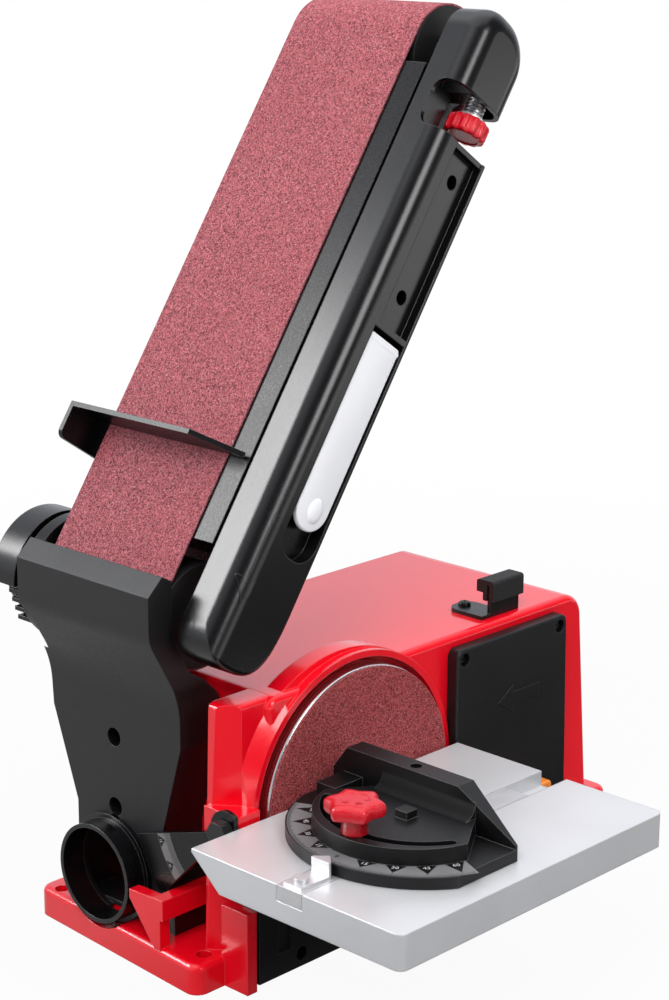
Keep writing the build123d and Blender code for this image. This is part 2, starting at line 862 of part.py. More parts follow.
# Belt drive behind the housing
def make_drive_bracket():
    web = wrap((dx, dz), bracket_neck_r, (ax, az), drive_cover_low_r)
    bracket = slab_y(web, (bracket_y, cover_y)) + rod("y", (ax, az), bracket_r, (bracket_y, cover_y))
    bracket += rod("y", (ax, az), bracket_r, (back_y, bracket_y))
    bracket -= rod("y", (ax, az), shaft_r + 3, (back_y - 1, cover_y + 1))
    bracket += rod("y", (dx, dz), boss_out_r, (frame_y2, bracket_y))
    bracket -= rod("y", (dx, dz), drive_bearing_r, (frame_y2 - 1, cover_y + 1))
    for kind, at, seat, inward in drive_spots:
        bracket -= rod(kind, at, screw_r + screw_gap, (back_y - 1, cover_y + 1))
    for at in drive_cover_spots():
        bracket -= rod("y", at, screw_r + screw_gap, (bracket_y - 1, cover_y + 1))
    return bracket


def drive_cover_spots():
    """Screw places of the drive cover, inside the loop of the drive belt."""
    lean = atan2(dz - az, dx - ax)
    return [(dx - d * cos(lean), dz - d * sin(lean)) for d in drive_cover_screws]


def drive_cover_blank(t, y0, y1):
    """Solid of the drive cover inset by t: a half-round hub on a neck that runs to the motor shaft."""
    neck = slab_y(wrap((dx, dz), drive_neck_r - t, (ax, az), drive_cover_low_r - t), (y0, y1))
    hub_r = drive_cover_r - t
    hub = rod("y", (dx, dz), hub_r, (y0, y1))
    hub &= block((dx - hub_r - 1, dx + hub_r + 1), (y0, y1), (dz - drive_cover_skirt + t, dz + hub_r + 1))
    return neck + hub


def make_drive_cover():
    back = cover_y + drive_cover_depth
    cover = drive_cover_blank(0, cover_y, back)
    for i in range(rib_count):
        z = dz - rib_drop - i * rib_pitch
        left = dx - rib_reach + rib_slope * i * rib_pitch
        cover += block((left, dx - 4), (cover_y, back - 3), (z - rib_t / 2, z + rib_t / 2))
    cover -= drive_cover_blank(drive_cover_t, cover_y - 1, back - drive_cover_t)
    for at in drive_cover_spots():
        cover += rod("y", at, 5, (cover_y, back - 1))
        cover -= rod("y", at, screw_r + screw_gap, (cover_y - 1, back + 1))
        cover -= rod("y", at, screw_head_r + fit_gap, (drive_cover_seat, back + 1))
    return cover


def make_pulley(at, r, bore):
    pulley = rod("y", at, r, (pulley_y0, pulley_y1))
    pulley += rod("y", at, r + toothed_belt_t + 1.5, (pulley_y0 - 1.2, pulley_y0 - belt_gap))
    pulley += rod("y", at, r, (pulley_y0 - 1.2, pulley_y0))
    return pulley - rod("y", at, bore + screw_gap, (pulley_y0 - 2, pulley_y1 + 1))


def make_drive_belt():
    inner = wrap((dx, dz), driven_pulley_r + belt_gap, (ax, az), drive_pulley_r + belt_gap)
    outer = wrap((dx, dz), driven_pulley_r + belt_gap + toothed_belt_t,
                 (ax, az), drive_pulley_r + belt_gap + toothed_belt_t)
    return slab_y(outer, (pulley_y0, pulley_y1)) - slab_y(inner, (pulley_y0 - 1, pulley_y1 + 1))


def make_shaft_bearings():
    low = frame_y2 + 0.5
    spans = ((low, low + drive_bearing_length), (cover_y - drive_bearing_length, cover_y))
    r_out = drive_bearing_r - bearing_gap
    r_in = drive_shaft_r + bearing_gap
    return Compound(children=[tube("y", (dx, dz), r_out, r_in, s) for s in spans])


# Drive drum turning on the pivot axis
def make_drive_shaft():
    return rod("y", (dx, dz), drive_shaft_r, (frame_y1 + 0.5, pulley_y1))


def drum(axis_x, axis_z, bore, pocket_r, pocket_length):
    body = rod("y", (axis_x, axis_z), drum_r, (drum_y0, drum_y1))
    inner = (drum_y0 + pocket_length + 3, drum_y1 - pocket_length - 3)
    body -= tube("y", (axis_x, axis_z), drum_r - drum_wall, pocket_r + 3, inner)
    if pocket_length:
        for span in ((drum_y0 - 1, drum_y0 + pocket_length), (drum_y1 - pocket_length, drum_y1 + 1)):
            body -= rod("y", (axis_x, axis_z), pocket_r + bearing_gap, span)
    return body - rod("y", (axis_x, axis_z), bore, (drum_y0 - 1, drum_y1 + 1))


def make_drive_drum():
    return drum(dx, dz, drive_shaft_r + screw_gap, drive_shaft_r, 0)


# Arm, drawn level along +X from the pivot and raised by its angle
def make_arm_frame():
    side = wrap((0, 0), drive_bearing_r + 9, (frame_high - frame_side_v, 0), frame_side_v)
    frame = slab_y(side, (frame_y1, frame_y0)) + slab_y(side, (frame_y2, frame_y3))
    deck_end = belt_y1 + platen_back
    frame += block((frame_low, frame_high), (frame_y1, deck_end), (deck_v - frame_deck_t, deck_v))
    frame += block((frame_low, frame_high), (frame_y1, frame_y0), (0, deck_v))
    for u in (frame_low, (frame_low + frame_high) / 2, frame_high - frame_web_t):
        frame += block((u, u + frame_web_t), (frame_y0, deck_end), (-frame_drop, deck_v - 1))
        frame += block((u, u + frame_web_t), (frame_y0, frame_y2), (-frame_side_v + 1, frame_side_v - 1))
    frame += rod("y", (0, 0), drive_cover_r, (frame_y2, bracket_y - hub_gap))
    frame -= rod("y", (0, 0), boss_out_r + screw_gap, (frame_y2 - 1, bracket_y + 1))
    frame -= rod("y", (0, 0), drive_bearing_r, (frame_y1 - 1, frame_y0 + 1))
    for y in guide_ys():
        frame -= rod("x", (y, 0), guide_rod_r + screw_gap, (frame_high - frame_web_t - 1, frame_high + 1))
    for u in cover_screw_u:
        frame -= rod("y", (u, cover_screw_v), screw_r + screw_gap, (frame_y1 - 1, frame_y0 + 1))
    frame -= rod("y", (stop_u, stop_screw_v), screw_r + screw_gap, (frame_y2 - 1, frame_y3 + 1))
    return arm * frame


def guide_ys():
    return (belt_y0 + guide_rod_inset, belt_y1 - guide_rod_inset)


def make_guide_rods():
    rods = [rod("x", (y, 0), guide_rod_r, (frame_high - frame_web_t, guide_rod_high)) for y in guide_ys()]
    return arm * Compound(children=rods)


def make_front_bearing():
    r_out = drive_bearing_r - bearing_gap
    return arm * tube("y", (0, 0), r_out, drive_shaft_r + bearing_gap, (frame_y1, frame_y0))


def make_platen():
    plate = block((platen_low, platen_low + platen_length), (belt_y0 - platen_front, belt_y1 + platen_back),
                  (deck_v, platen_v))
    return arm * plate


def make_sanding_belt():
    outer = wrap((0, 0), belt_out_r, (idler_u, 0), belt_out_r)
    inner = wrap((0, 0), belt_in_r, (idler_u, 0), belt_in_r)
    return arm * (slab_y(outer, (belt_y0, belt_y1)) - slab_y(inner, (belt_y0 - 1, belt_y1 + 1)))


def cover_blank(t, split, shoulder):
    """Solid of the side cover inset by t: a low half with a round nose and a domed high half."""
    y0 = sidecover_y0 + t
    y1 = sidecover_y1 + (1 if t else 0)
    low_v = cover_low_v + t
    top_v = cover_top_v - t
    r = shoulder - t
    tip = -cover_low + t
    chin = (-cover_low + cover_nose_reach, low_v)
    heel = (-cover_low + cover_heel_reach, top_v)
    nose = Spline(chin, (tip, cover_nose_v), heel, tangents=[(-1, 0), (1, 0)])
    sides = Polyline(heel, (split, top_v), (split, low_v), chin)
    low = slab_y(make_face([*nose.edges(), *sides.edges()]), (y0, y1))
    front = edges_at(low, Axis.Y, y0)
    if not t:
        crisp = [e for e in front if e.center().X < split - 1 and e.center().Z < top_v - 1]
        low = fillet(crisp, cover_edge)
    square = Pos(y0 + r / 2 - 1, top_v - r / 2 + 1) * Rectangle(r + 2, r + 2)
    low -= slab_x((square - Pos(y0 + r, top_v - r) * Circle(r)) & square, (-cover_low - 9, split))
    end = cover_high - t
    high = slab_y(outline([(split, low_v), (end, low_v), (end, top_v), (split, top_v)],
                          [(1, cover_tail_r - t), (2, cover_top_r - t)]), (y0, y1))
    high = fillet([e for e in edges_at(high, Axis.Y, y0) if e.center().X > split + 1], r)
    return low + high


def make_arm_cover():
    y0 = sidecover_y0
    y1 = sidecover_y1
    split = (notch_low + notch_high) / 2
    body = cover_blank(0, split, cover_round) - cover_blank(cover_t, split, cover_round)
    floor_y = y0 + pocket_depth + cover_t
    core = block((pocket_low - cover_t, recess_high + cover_t), (y0 + 1, floor_y),
                 (cover_low_v + 1, lever_width / 2 + pocket_gap_v + cover_t))
    body += core & cover_blank(0, split, cover_round)
    body -= block((recess_low, recess_high), (y0 - 1, y0 + recess_depth),
                  (cover_low_v + rim_t, recess_top_v))
    half = lever_width / 2 + pocket_gap_v
    end = lever_high + 3
    pocket = outline([(pocket_low, -half), (end, -half), (end, half), (pocket_low, half)],
                     [(0, half - 2), (3, half - 2)])
    body -= slab_y(pocket, (y0 - 1, y0 + pocket_depth))
    scoop_y = y0 + scoop_depth
    liner = block((notch_low - cover_t, notch_low), (y0 + 1, scoop_y + cover_t),
                  (cover_low_v + 1, cover_top_v - 1))
    liner += block((notch_low - cover_t, scoop_back_high), (scoop_y, scoop_y + cover_t),
                   (notch_top_v, cover_top_v - 1))
    body += liner & cover_blank(0, split, cover_round)
    body -= block((notch_low, notch_high), (y0 - 1, y1 + 1), (cover_low_v - 1, notch_top_v))
    scoop = outline([(notch_low, y0 - 1), (notch_high, y0 - 1), (notch_high, scoop_y),
                     (notch_low, scoop_y)], [(2, scoop_round), (3, scoop_round)])
    body -= slab_z(scoop, (notch_top_v - 1, cover_top_v + 1))
    pin_u = lever_high - lever_pin_from_end
    body -= rod("z", (pin_u, lever_pin_y()), lever_pin_r + screw_gap, (cover_low_v + 1.5, half + 5))
    for u in cover_screw_u:
        body += rod("y", (u, cover_screw_v), screw_well_r + 2.4, (y0 + recess_depth, frame_y1))
        body -= rod("y", (u, cover_screw_v), screw_well_r, (y0 - 1, frame_y1 - 4))
        body -= rod("y", (u, cover_screw_v), screw_r + screw_gap, (y0, frame_y1 + 1))
    return arm * body


def lever_pin_y():
    return sidecover_y0 + lever_sunk + lever_barrel_r


def make_tension_lever():
    y0 = sidecover_y0 + lever_sunk
    half = lever_width / 2
    pin_u = lever_high - lever_pin_from_end
    face = outline([(lever_low, -half), (lever_high, -half), (lever_high, half), (lever_low, half)],
                   [(0, half - 0.1), (3, half - 0.1)])
    lever = slab_y(face, (y0, y0 + lever_t))
    lever += rod("z", (pin_u, lever_pin_y()), lever_barrel_r, (-half, half))
    lever -= rod("z", (pin_u, lever_pin_y()), lever_pin_r + screw_gap, (-half - 1, half + 1))
    return arm * lever


def make_lever_pin():
    pin_u = lever_high - lever_pin_from_end
    span = (cover_low_v + 2, lever_width / 2 + pocket_gap_v + 4)
    return arm * rod("z", (pin_u, lever_pin_y()), lever_pin_r, span)


def make_work_stop():
    low = belt_out_r + stop_gap
    high = low + stop_rise
    back = frame_y3
    tip = belt_y0 - platen_front + 1
    face = outline([(back + stop_t, low), (tip, low), (tip + stop_tip, high), (back + stop_t, high)])
    plate = slab_x(face, (stop_u - stop_t / 2, stop_u + stop_t / 2))
    flange = outline([(stop_u - stop_flange, stop_screw_v - 7), (stop_u + stop_t / 2, stop_screw_v - 7),
                      (stop_u + stop_t / 2, high), (stop_u - stop_flange, high)], [(0, 5), (3, 5)])
    plate += slab_y(flange, (back, back + stop_t))
    plate -= rod("y", (stop_u, stop_screw_v), screw_r + screw_gap, (back - 1, back + stop_t + 1))
    return arm * plate


def make_arm_screws():
    screws = [screw("y", (u, cover_screw_v), frame_y1 - 4, 1) for u in cover_screw_u]
    screws.append(screw("y", (stop_u, stop_screw_v), frame_y3 + stop_t, -1))
    return arm * Compound(children=screws)


# Idler carriage, idler drum and tracking knob
def make_idler_carriage():
    y0 = belt_y0 - 5
    y1 = y0 - carriage_arm_t
    y2 = frame_y2
    y3 = y2 + carriage_arm_t
    bridge = block((carriage_low, carriage_high), (y1, y3), (-carriage_half, carriage_half))
    for span in ((y1, y0), (y2, y3)):
        side = block((carriage_low, idler_u), span, (-carriage_tip, carriage_tip))
        bridge += side + rod("y", (idler_u, 0), carriage_tip, span)
    nut = (track_nut_low, track_nut_low + track_nut_length)
    bridge += block(nut, (fy + track_setback - 6, y0), (track_v - 7, track_v + 7))
    bridge -= rod("x", (fy + track_setback, track_v), track_stud_r + screw_gap, (nut[0] - 1, nut[1] + 1))
    bridge -= rod("y", (idler_u, 0), axle_r + screw_gap, (y1 - 1, y3 + 1))
    for y in guide_ys():
        bridge -= rod("x", (y, 0), guide_rod_r + screw_gap, (carriage_low - 1, carriage_high + 1))
    return arm * bridge


def make_idler_axle():
    span = (belt_y0 - 5 - carriage_arm_t, frame_y2 + carriage_arm_t)
    return arm * rod("y", (idler_u, 0), axle_r, span)


def make_idler_drum():
    return arm * drum(idler_u, 0, axle_r + 2, idler_bearing_r, idler_bearing_length)


def make_idler_bearings():
    spans = ((drum_y0, drum_y0 + idler_bearing_length), (drum_y1 - idler_bearing_length, drum_y1))
    rings = [tube("y", (idler_u, 0), idler_bearing_r, axle_r + bearing_gap, s) for s in spans]
    return arm * Compound(children=rings)


def make_tracking_knob():
    knob = Rot(0, 90, 0) * lobed(track_knob_r, track_lobe_r, track_lobe_count, track_knob_t)
    knob = Pos(track_u, fy + track_setback, track_v) * knob
    span = (track_u, track_nut_low + track_nut_length)
    knob += rod("x", (fy + track_setback, track_v), track_stud_r, span)
    return arm * knob


def make_tracking_washer():
    low = track_u + track_knob_t
    at = (fy + track_setback, track_v)
    return arm * tube("x", at, track_stud_r + 5, track_stud_r + screw_gap, (low, low + 2))


def make_tension_spring():
    """Coil round the first guide rod, from the frame's end web to the carriage."""
    y = guide_ys()[0]
    low = frame_high + spring_wire_r + 0.1
    high = carriage_low - spring_wire_r - 0.1
    path = Helix(pitch=(high - low) / spring_turn_count, height=high - low, radius=spring_coil_r)
    start = Plane(origin=path @ 0, z_dir=path % 0)
    coil = sweep(start * Circle(spring_wire_r), path=path)
    return arm * (Pos(low, y, 0) * Rot(0, 90, 0) * coil)


# Disc table with its tilt sector
def table_face():
    low = table_z - table_t
    return outline([(table_y0, table_z), (table_y0, table_z - table_lip), (table_y0 - table_bevel, low),
                    (table_y1, low), (table_y1, table_z)])


def make_table():
    x = (ax - table_left, ax + table_right)
    low = table_z - table_t
    table = slab_x(table_face(), x)
    near = table.edges().filter_by(Axis.Z).sort_by(Axis.Y)[:2]
    table = fillet(near, table_corner_r)
    table -= block((x[0] - 1, x[1] + 1), (slot_y - slot_width / 2, slot_y + slot_width / 2),
                   (table_z - slot_depth, table_z + 1))
    half_rib = table_rib / 2
    bays_y = ((table_y0 - table_bevel - table_rib, slot_y + half_rib),
              (slot_y - half_rib, table_y1 + table_rib))
    third = (x[1] - x[0] - table_rib) / 3
    for y in bays_y:
        for i in range(3):
            bay = (x[0] + table_rib + i * third, x[0] + (i + 1) * third)
            table -= block(bay, y, (low - 1, low + table_pocket_depth))
    return table


sector_x1 = dx - hood_plate - sector_gap
sector_x0 = sector_x1 - sector_t


def sector_slice(r, low_angle):
    """Slice of a disc round the tilt axis, from an angle up to the sector's upper edge."""
    points = [tilt_at]
    for i in range(13):
        turn = radians(low_angle + (sector_high_angle - low_angle) * i / 12)
        points.append((tilt_at[0] + r * cos(turn), tilt_at[1] + r * sin(turn)))
    return outline(points)


def make_tilt_sector():
    y, z = tilt_at
    low = table_z - table_t
    back = table_y0 - table_bevel
    sector = slab_x(sector_slice(sector_r, sector_low_angle), (sector_x0, sector_x1))
    sector += slab_x(sector_slice(sector_root_r, sector_root_low), (sector_x0, sector_x1))
    sector += rod("x", tilt_at, sector_hub_r, (sector_x0, sector_x1))
    sector -= block((sector_x0 - 1, sector_x1 + 1), (y - sector_hub_r - 1, table_y0 + hub_clear),
                    (table_z, z + sector_hub_r + 1))
    arm_face = outline([(y, z + 6), (table_y0 - 3, table_z - 5), (back, low + 2), (back - 16, low + 2),
                        (back - 16, low - 6), (y - 2, z - sector_hub_r)])
    sector += slab_x(arm_face, (sector_x0, sector_x1))
    sector -= slab_x(table_face(), (ax - table_left, ax + table_right))
    return sector - rod("x", tilt_at, tilt_pin_r + screw_gap, (sector_x0 - 1, sector_x1 + 1))


def make_table_knob():
    top = sector_x0 - table_knob_gap
    face = RegularPolygon(table_knob_r, table_knob_flat_count)
    face = fillet(face.vertices(), 2.5)
    knob = slab_x(spot(tilt_at, face), (top - table_knob_t, top))
    return knob + rod("x", tilt_at, tilt_pin_r, (top, sector_x1 + sector_gap + lug_width - 3))


# Mitre gauge sliding in the table slot
bar_z0 = table_z - slot_depth + bar_gap


def make_gauge_bar():
    half = slot_width / 2 - bar_gap
    bar = block((ax - table_left, ax + bar_right), (slot_y - half, slot_y + half), (bar_z0, table_z))
    bar += rod("z", (gauge_x, slot_y), gauge_pin_r, (table_z, gauge_z + gauge_t))
    stud_x = gauge_x - gauge_slot_r
    bar -= rod("z", (stud_x, slot_y), gauge_stud_r + screw_gap, (bar_z0 - 1, table_z + 1))
    bar -= rod("z", (pointer_x(), slot_y), screw_r + screw_gap, (bar_z0, table_z + 1))
    return bar


def pointer_x():
    return gauge_x - gauge_r - pointer_gap - pointer_foot + pointer_screw


def make_gauge_pointer():
    x1 = gauge_x - gauge_r - pointer_gap
    x0 = x1 - pointer_foot
    half = pointer_width / 2
    top = gauge_z + gauge_t + 0.6
    foot = block((x0, x1), (slot_y - half, slot_y + half), (table_z, table_z + pointer_t))
    foot += block((x1 - pointer_t, x1), (slot_y - half, slot_y + half), (table_z, top + pointer_t))
    tip = outline([(x1 - pointer_t, slot_y - half), (x1, slot_y - half), (x1 + pointer_gap + 3, slot_y),
                   (x1, slot_y + half), (x1 - pointer_t, slot_y + half)])
    foot += slab_z(tip, (top, top + pointer_t))
    span = (table_z - 1, table_z + pointer_t + 1)
    return foot - rod("z", (pointer_x(), slot_y), screw_r + screw_gap, span)


def make_pointer_screw():
    return screw("z", (pointer_x(), slot_y), table_z + pointer_t, -1)


def ring_sector(r_in, r_out, half_angle):
    """Part of a flat ring round the gauge pivot, opening towards -X."""
    reach = r_out * 2
    a = radians(half_angle)
    wedge = outline([(0, 0), (-reach * cos(a), reach * sin(a)), (-reach, reach * sin(a)),
                     (-reach, -reach * sin(a)), (-reach * cos(a), -reach * sin(a))])
    ring = Circle(r_out) - Circle(r_in) if r_in else Circle(r_out)
    return spot((gauge_x, slot_y), ring & wedge)


def make_gauge_head():
    fence_x0 = gauge_x + fence_front
    fence_x1 = fence_x0 + fence_t
    near = slot_y + fence_near
    far = slot_y - fence_far
    z0 = gauge_z
    window = block((gauge_x - gauge_r - 1, fence_x1), (far, near), (z0, z0 + gauge_t + gauge_step))
    head = rod("z", (gauge_x, slot_y), gauge_r, (z0, z0 + gauge_t)) & window
    top = z0 + gauge_t + gauge_step
    flare = gauge_step_root + (fence_front + gauge_r) * tan(radians(gauge_step_flare))
    step = outline([(fence_x0, slot_y - gauge_step_root), (fence_x0, slot_y + gauge_step_root),
                    (gauge_x - gauge_r, slot_y + flare), (gauge_x - gauge_r, slot_y - flare)])
    step &= spot((gauge_x - gauge_step_shift, slot_y), Circle(gauge_step_r))
    head += slab_z(step, (z0, top))
    head += block((gauge_x - gauge_lug_front, fence_x0), (slot_y + gauge_lug_from, slot_y + gauge_lug_to),
                  (z0, top))
    fence = outline([(near, z0), (near, z0 + fence_end + 8), (near - fence_near_slope, z0 + fence_top),
                     (far + fence_far_slope, z0 + fence_top), (far, z0 + fence_end), (far, z0)])
    head += slab_x(fence, (fence_x0, fence_x1))
    foot_y = (slot_y - gauge_step_root, slot_y + gauge_step_root)
    foot_at = (fence_x0 - fence_foot_r, top + fence_foot_r)
    foot = block((foot_at[0], fence_x0 + 1), foot_y, (top - 1, foot_at[1]))
    round_at = (foot_at[0] + 0.05, foot_at[1] - 0.05)
    head += foot - rod("y", round_at, fence_foot_r, (foot_y[0] - 1, foot_y[1] + 1))
    wedge_x = gauge_x - wedge_front
    wedge_y = slot_y - wedge_side
    head += block((wedge_x, wedge_x + wedge_size), (wedge_y, wedge_y + wedge_size),
                  (top - 1, top + wedge_height))
    bend = far + fence_far_slope
    head -= slab_z(outline([(fence_x1 + 1, bend), (fence_x1 + 1, far - 1), (fence_x1 - fence_cut, far - 1),
                            (fence_x1 - fence_cut, far), (fence_x1, bend)]), (z0 - 1, z0 + fence_top + 1))
    top = z0 + fence_top
    hole = ((fence_x0 + fence_x1) / 2, slot_y + 15)
    head -= rod("z", hole, fence_hole_r, (top - fence_hole_depth, top + 1))
    half = gauge_slot_width / 2
    slot = ring_sector(gauge_slot_r - half, gauge_slot_r + half, gauge_swing)
    head -= slab_z(slot, (z0 - 1, z0 + gauge_t + gauge_step + 1))
    for side in (-1, 1):
        a = radians(gauge_swing) * side
        end = (gauge_x - gauge_slot_r * cos(a), slot_y + gauge_slot_r * sin(a))
        head -= rod("z", end, half, (z0 - 1, z0 + gauge_t + gauge_step + 1))
    return head - rod("z", (gauge_x, slot_y), gauge_pin_r + screw_gap, (z0 - 1, z0 + gauge_t + rest_gap))


def make_gauge_knob():
    at = (gauge_x - gauge_slot_r, slot_y)
    seat = gauge_z + gauge_t + gauge_step + rest_gap
    knob = rod("z", at, gauge_stud_r, (bar_z0, seat))
    knob += rod("z", at, gauge_stem_r, (seat, seat + gauge_stem_h))
    head = lobed(gauge_knob_r, gauge_lobe_r, gauge_lobe_count, gauge_knob_t)
    return knob + Pos(at[0], at[1], seat + gauge_stem_h) * head


# Dust hood, duct and port on the left
def make_dust_hood():
    bottom = foot_height - dz
    back = left_x - dx
    t = hood_wall
    lip = hypot(hood_reach - hood_lip_x, hood_lip_drop)
    inward = (hood_lip_drop / lip * t, -(hood_reach - hood_lip_x) / lip * t)
    outer = outline([(-hood_lip_x, hood_top), (-hood_reach, hood_top - hood_lip_drop),
                     (-hood_reach, hood_knee), (-hood_plate, hood_crease), (-hood_plate, bottom),
                     (back, bottom), (back, -hood_hip),
                     (-8, hood_crease + 9), (-19.5, hood_crease + 16), (-hood_side_x, hood_knee),
                     (-hood_side_x, hood_top - hood_side_drop)],
                    [(2, hood_knee_r), (3, hood_crease_r), (6, hood_waist_r), (8, hood_hip_r),
                     (9, hood_knee_r)])
    inner_lip = (-hood_lip_x + inward[0], hood_top + inward[1])
    slope = hood_lip_drop / (hood_reach - hood_lip_x)
    inner_front = (-hood_reach + t, inner_lip[1] - slope * (inner_lip[0] + hood_reach - t))
    inner = outline([inner_lip, inner_front, (-hood_reach + t, hood_knee), (-hood_plate + t, hood_crease),
                     (-hood_plate + t, bottom + t), (back + 1, bottom + t), (back + 1, hood_top + 5),
                     (inner_lip[0] + 2, hood_top + 5)], [(2, hood_knee_r - t), (3, hood_crease_r + t)])
    y0 = fy + hood_y0
    y1 = fy + hood_y1
    place = Pos(dx, 0, dz)
    hood = place * slab_y(outer, (y0, y1))
    room = place * slab_y(inner, (y0, y1))
    x = (dx - hood_reach - 1, left_x + 2)
    hood &= slab_x(hood_front(y0, y1, 0), x)
    hood -= room & slab_x(hood_front(y0, y1, t), x)
    hood -= rod("y", (dx, dz), hood_clear_r, (y1 - t - 1, y1 + 1))
    plate_x = dx - hood_plate
    hood -= rod("x", (fy + port_y, az + port_z), port_r - port_wall, (plate_x - 1, plate_x + t + 1))
    for kind, at, seat, inward_dir in hood_spots:
        hood += rod(kind, at, hood_well_r + 2, (dx - hood_plate + 1, left_x))
        hood -= rod(kind, at, hood_well_r, (dx - hood_plate - 1, seat))
        hood -= screw_hole(kind, at, seat, inward_dir)
    return hood


def hood_front(y0, y1, t):
    """Front view of the hood, narrowing towards the port, inset by t."""
    top = dz + hood_top + 10
    z1 = az + hood_taper_z
    z0 = az + hood_taper_low
    low = foot_height + t
    toe = fy + hood_toe_y + t
    z2 = az + hood_toe_top - t
    front = y0 + hood_taper_front + t
    back = y1 - hood_taper_back - t
    return outline([(y0 + t, top), (y0 + t, z1), (front, z0), (front, z2), (toe, z2), (toe, low),
                    (back, low), (back, z0), (y1 - hood_taper_high - t, z1),
                    (y1 - t, dz + hood_crease + 8), (y1 - t, top)])


def make_dust_port():
    at = (fy + port_y, az + port_z)
    x1 = dx - hood_plate
    port = tube("x", at, port_r, port_r - port_wall, (x1 - port_length, x1))
    return port + tube("x", at, port_flange_r, port_r - port_wall, (x1 - port_flange_t, x1))


def make_dust_duct():
    x = (left_x + wall, left_x + wall + duct_width)
    y = (motor_y0, motor_y0 + duct_length)
    z = (duct_lift, duct_lift + duct_height)
    duct = block(x, y, z)
    duct -= block((x[0] + duct_wall, x[1] - duct_wall), (y[0] - 1, y[1] - duct_wall),
                  (z[0] + duct_wall, z[1] - duct_wall))
    duct -= block((x[0] - 1, x[0] + duct_wall + 1), (motor_y0 + duct_gate_y, y[1] - duct_wall),
                  (z[0] + duct_wall, z[1] - duct_wall))
    return duct


# Rest that carries the arm when it lies level
pad_top = dz + cover_low_v + (rest_x + pivot_left) * tan(radians(rest_level)) - rest_gap


def make_rest_bracket():
    x = (ax + rest_x, ax + rest_x + rest_length)
    y = fy + rest_y
    bracket = block(x, (y, y + rest_t), (housing_height, pad_top - pad_wall))
    foot = block((x[0] - rest_foot_left, x[0] + rest_foot_right), (y, y + rest_foot),
                 (housing_height, housing_height + rest_t))
    bracket += fillet(edges_at(foot, Axis.Y, y + rest_foot).filter_by(Axis.Z), 8)
    return bracket - screw_hole(*rest_spot)


def make_rest_pad():
    x = (ax + rest_x - 1, ax + rest_x + rest_length + 1)
    y = fy + rest_y
    pad = block(x, (y - pad_wall, y + rest_t + pad_wall), (pad_top - pad_height, pad_top))
    pad += block(x, (y - pad_wall, y + rest_t + pad_back), (pad_top - pad_back_height, pad_top))
    pad = fillet(edges_at(pad, Axis.Z, pad_top).filter_by(Axis.X), 2)
    return pad - block((x[0] - 1, x[1] + 1), (y, y + rest_t),
                       (pad_top - pad_height - 1, pad_top - pad_wall))


nodes = {
    "housing": make_housing,
    "bottom_plate": make_bottom_plate,
    "casing_screws": make_casing_screws,
    "disc_guard": make_disc_guard,
    "switch_panel": make_switch_panel,
    "switch_body": make_switch_body,
    "start_button": lambda: make_button(-1),
    "stop_button": lambda: make_button(1),
    "motor_stator": make_stator,
    "stator_windings": make_windings,
    "motor_front_bell": lambda: make_bell(motor_y0, stator_y0),
    "motor_rear_bell": lambda: make_bell(motor_y1, stator_y1),
    "motor_bearings": make_motor_bearings,
    "motor_tie_bolts": make_tie_bolts,
    "run_capacitor": make_capacitor,
    "cord_gland": make_gland,
    "motor_shaft": make_motor_shaft,
    "rotor_core": make_rotor_core,
    "cooling_fan": make_fan,
    "disc_plate": make_disc_plate,
    "disc_bolt": lambda: disc_bolt(0),
    "disc_paper": make_disc_paper,
    "drive_pulley": lambda: make_pulley((ax, az), drive_pulley_r, shaft_r - 1.5),
    "drive_bracket": make_drive_bracket,
    "drive_cover": make_drive_cover,
    "drive_belt": make_drive_belt,
    "shaft_bearings": make_shaft_bearings,
    "drive_shaft": make_drive_shaft,
    "drive_drum": make_drive_drum,
    "driven_pulley": lambda: make_pulley((dx, dz), driven_pulley_r, drive_shaft_r),
    "arm_frame": make_arm_frame,
    "guide_rods": make_guide_rods,
    "front_bearing": make_front_bearing,
    "platen": make_platen,
    "sanding_belt": make_sanding_belt,
    "arm_cover": make_arm_cover,
    "arm_screws": make_arm_screws,
    "tension_lever": make_tension_lever,
    "lever_pin": make_lever_pin,
    "work_stop": make_work_stop,
    "tension_spring": make_tension_spring,
    "idler_carriage": make_idler_carriage,
    "idler_axle": make_idler_axle,
    "idler_drum": make_idler_drum,
    "idler_bearings": make_idler_bearings,
    "tracking_knob": make_tracking_knob,
    "tracking_washer": make_tracking_washer,
    "disc_table": make_table,
    "tilt_sector": make_tilt_sector,
    "table_knob": make_table_knob,
    "gauge_bar": make_gauge_bar,
    "gauge_pointer": make_gauge_pointer,
    "pointer_screw": make_pointer_screw,
    "gauge_head": make_gauge_head,
    "gauge_knob": make_gauge_knob,
    "dust_hood": make_dust_hood,
    "dust_port": make_dust_port,
    "dust_duct": make_dust_duct,
    "arm_rest": make_rest_bracket,
    "rest_pad": make_rest_pad,
}

for name, make in nodes.items():
    export_step(make(), f"parts/{name}.step")
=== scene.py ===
"""Finishes and fine pieces of a belt and disc bench sander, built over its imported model."""
import json
import math

import bmesh
import bpy
from bpy.props import FloatProperty, FloatVectorProperty, IntProperty, PointerProperty
from mathutils import Matrix, Vector


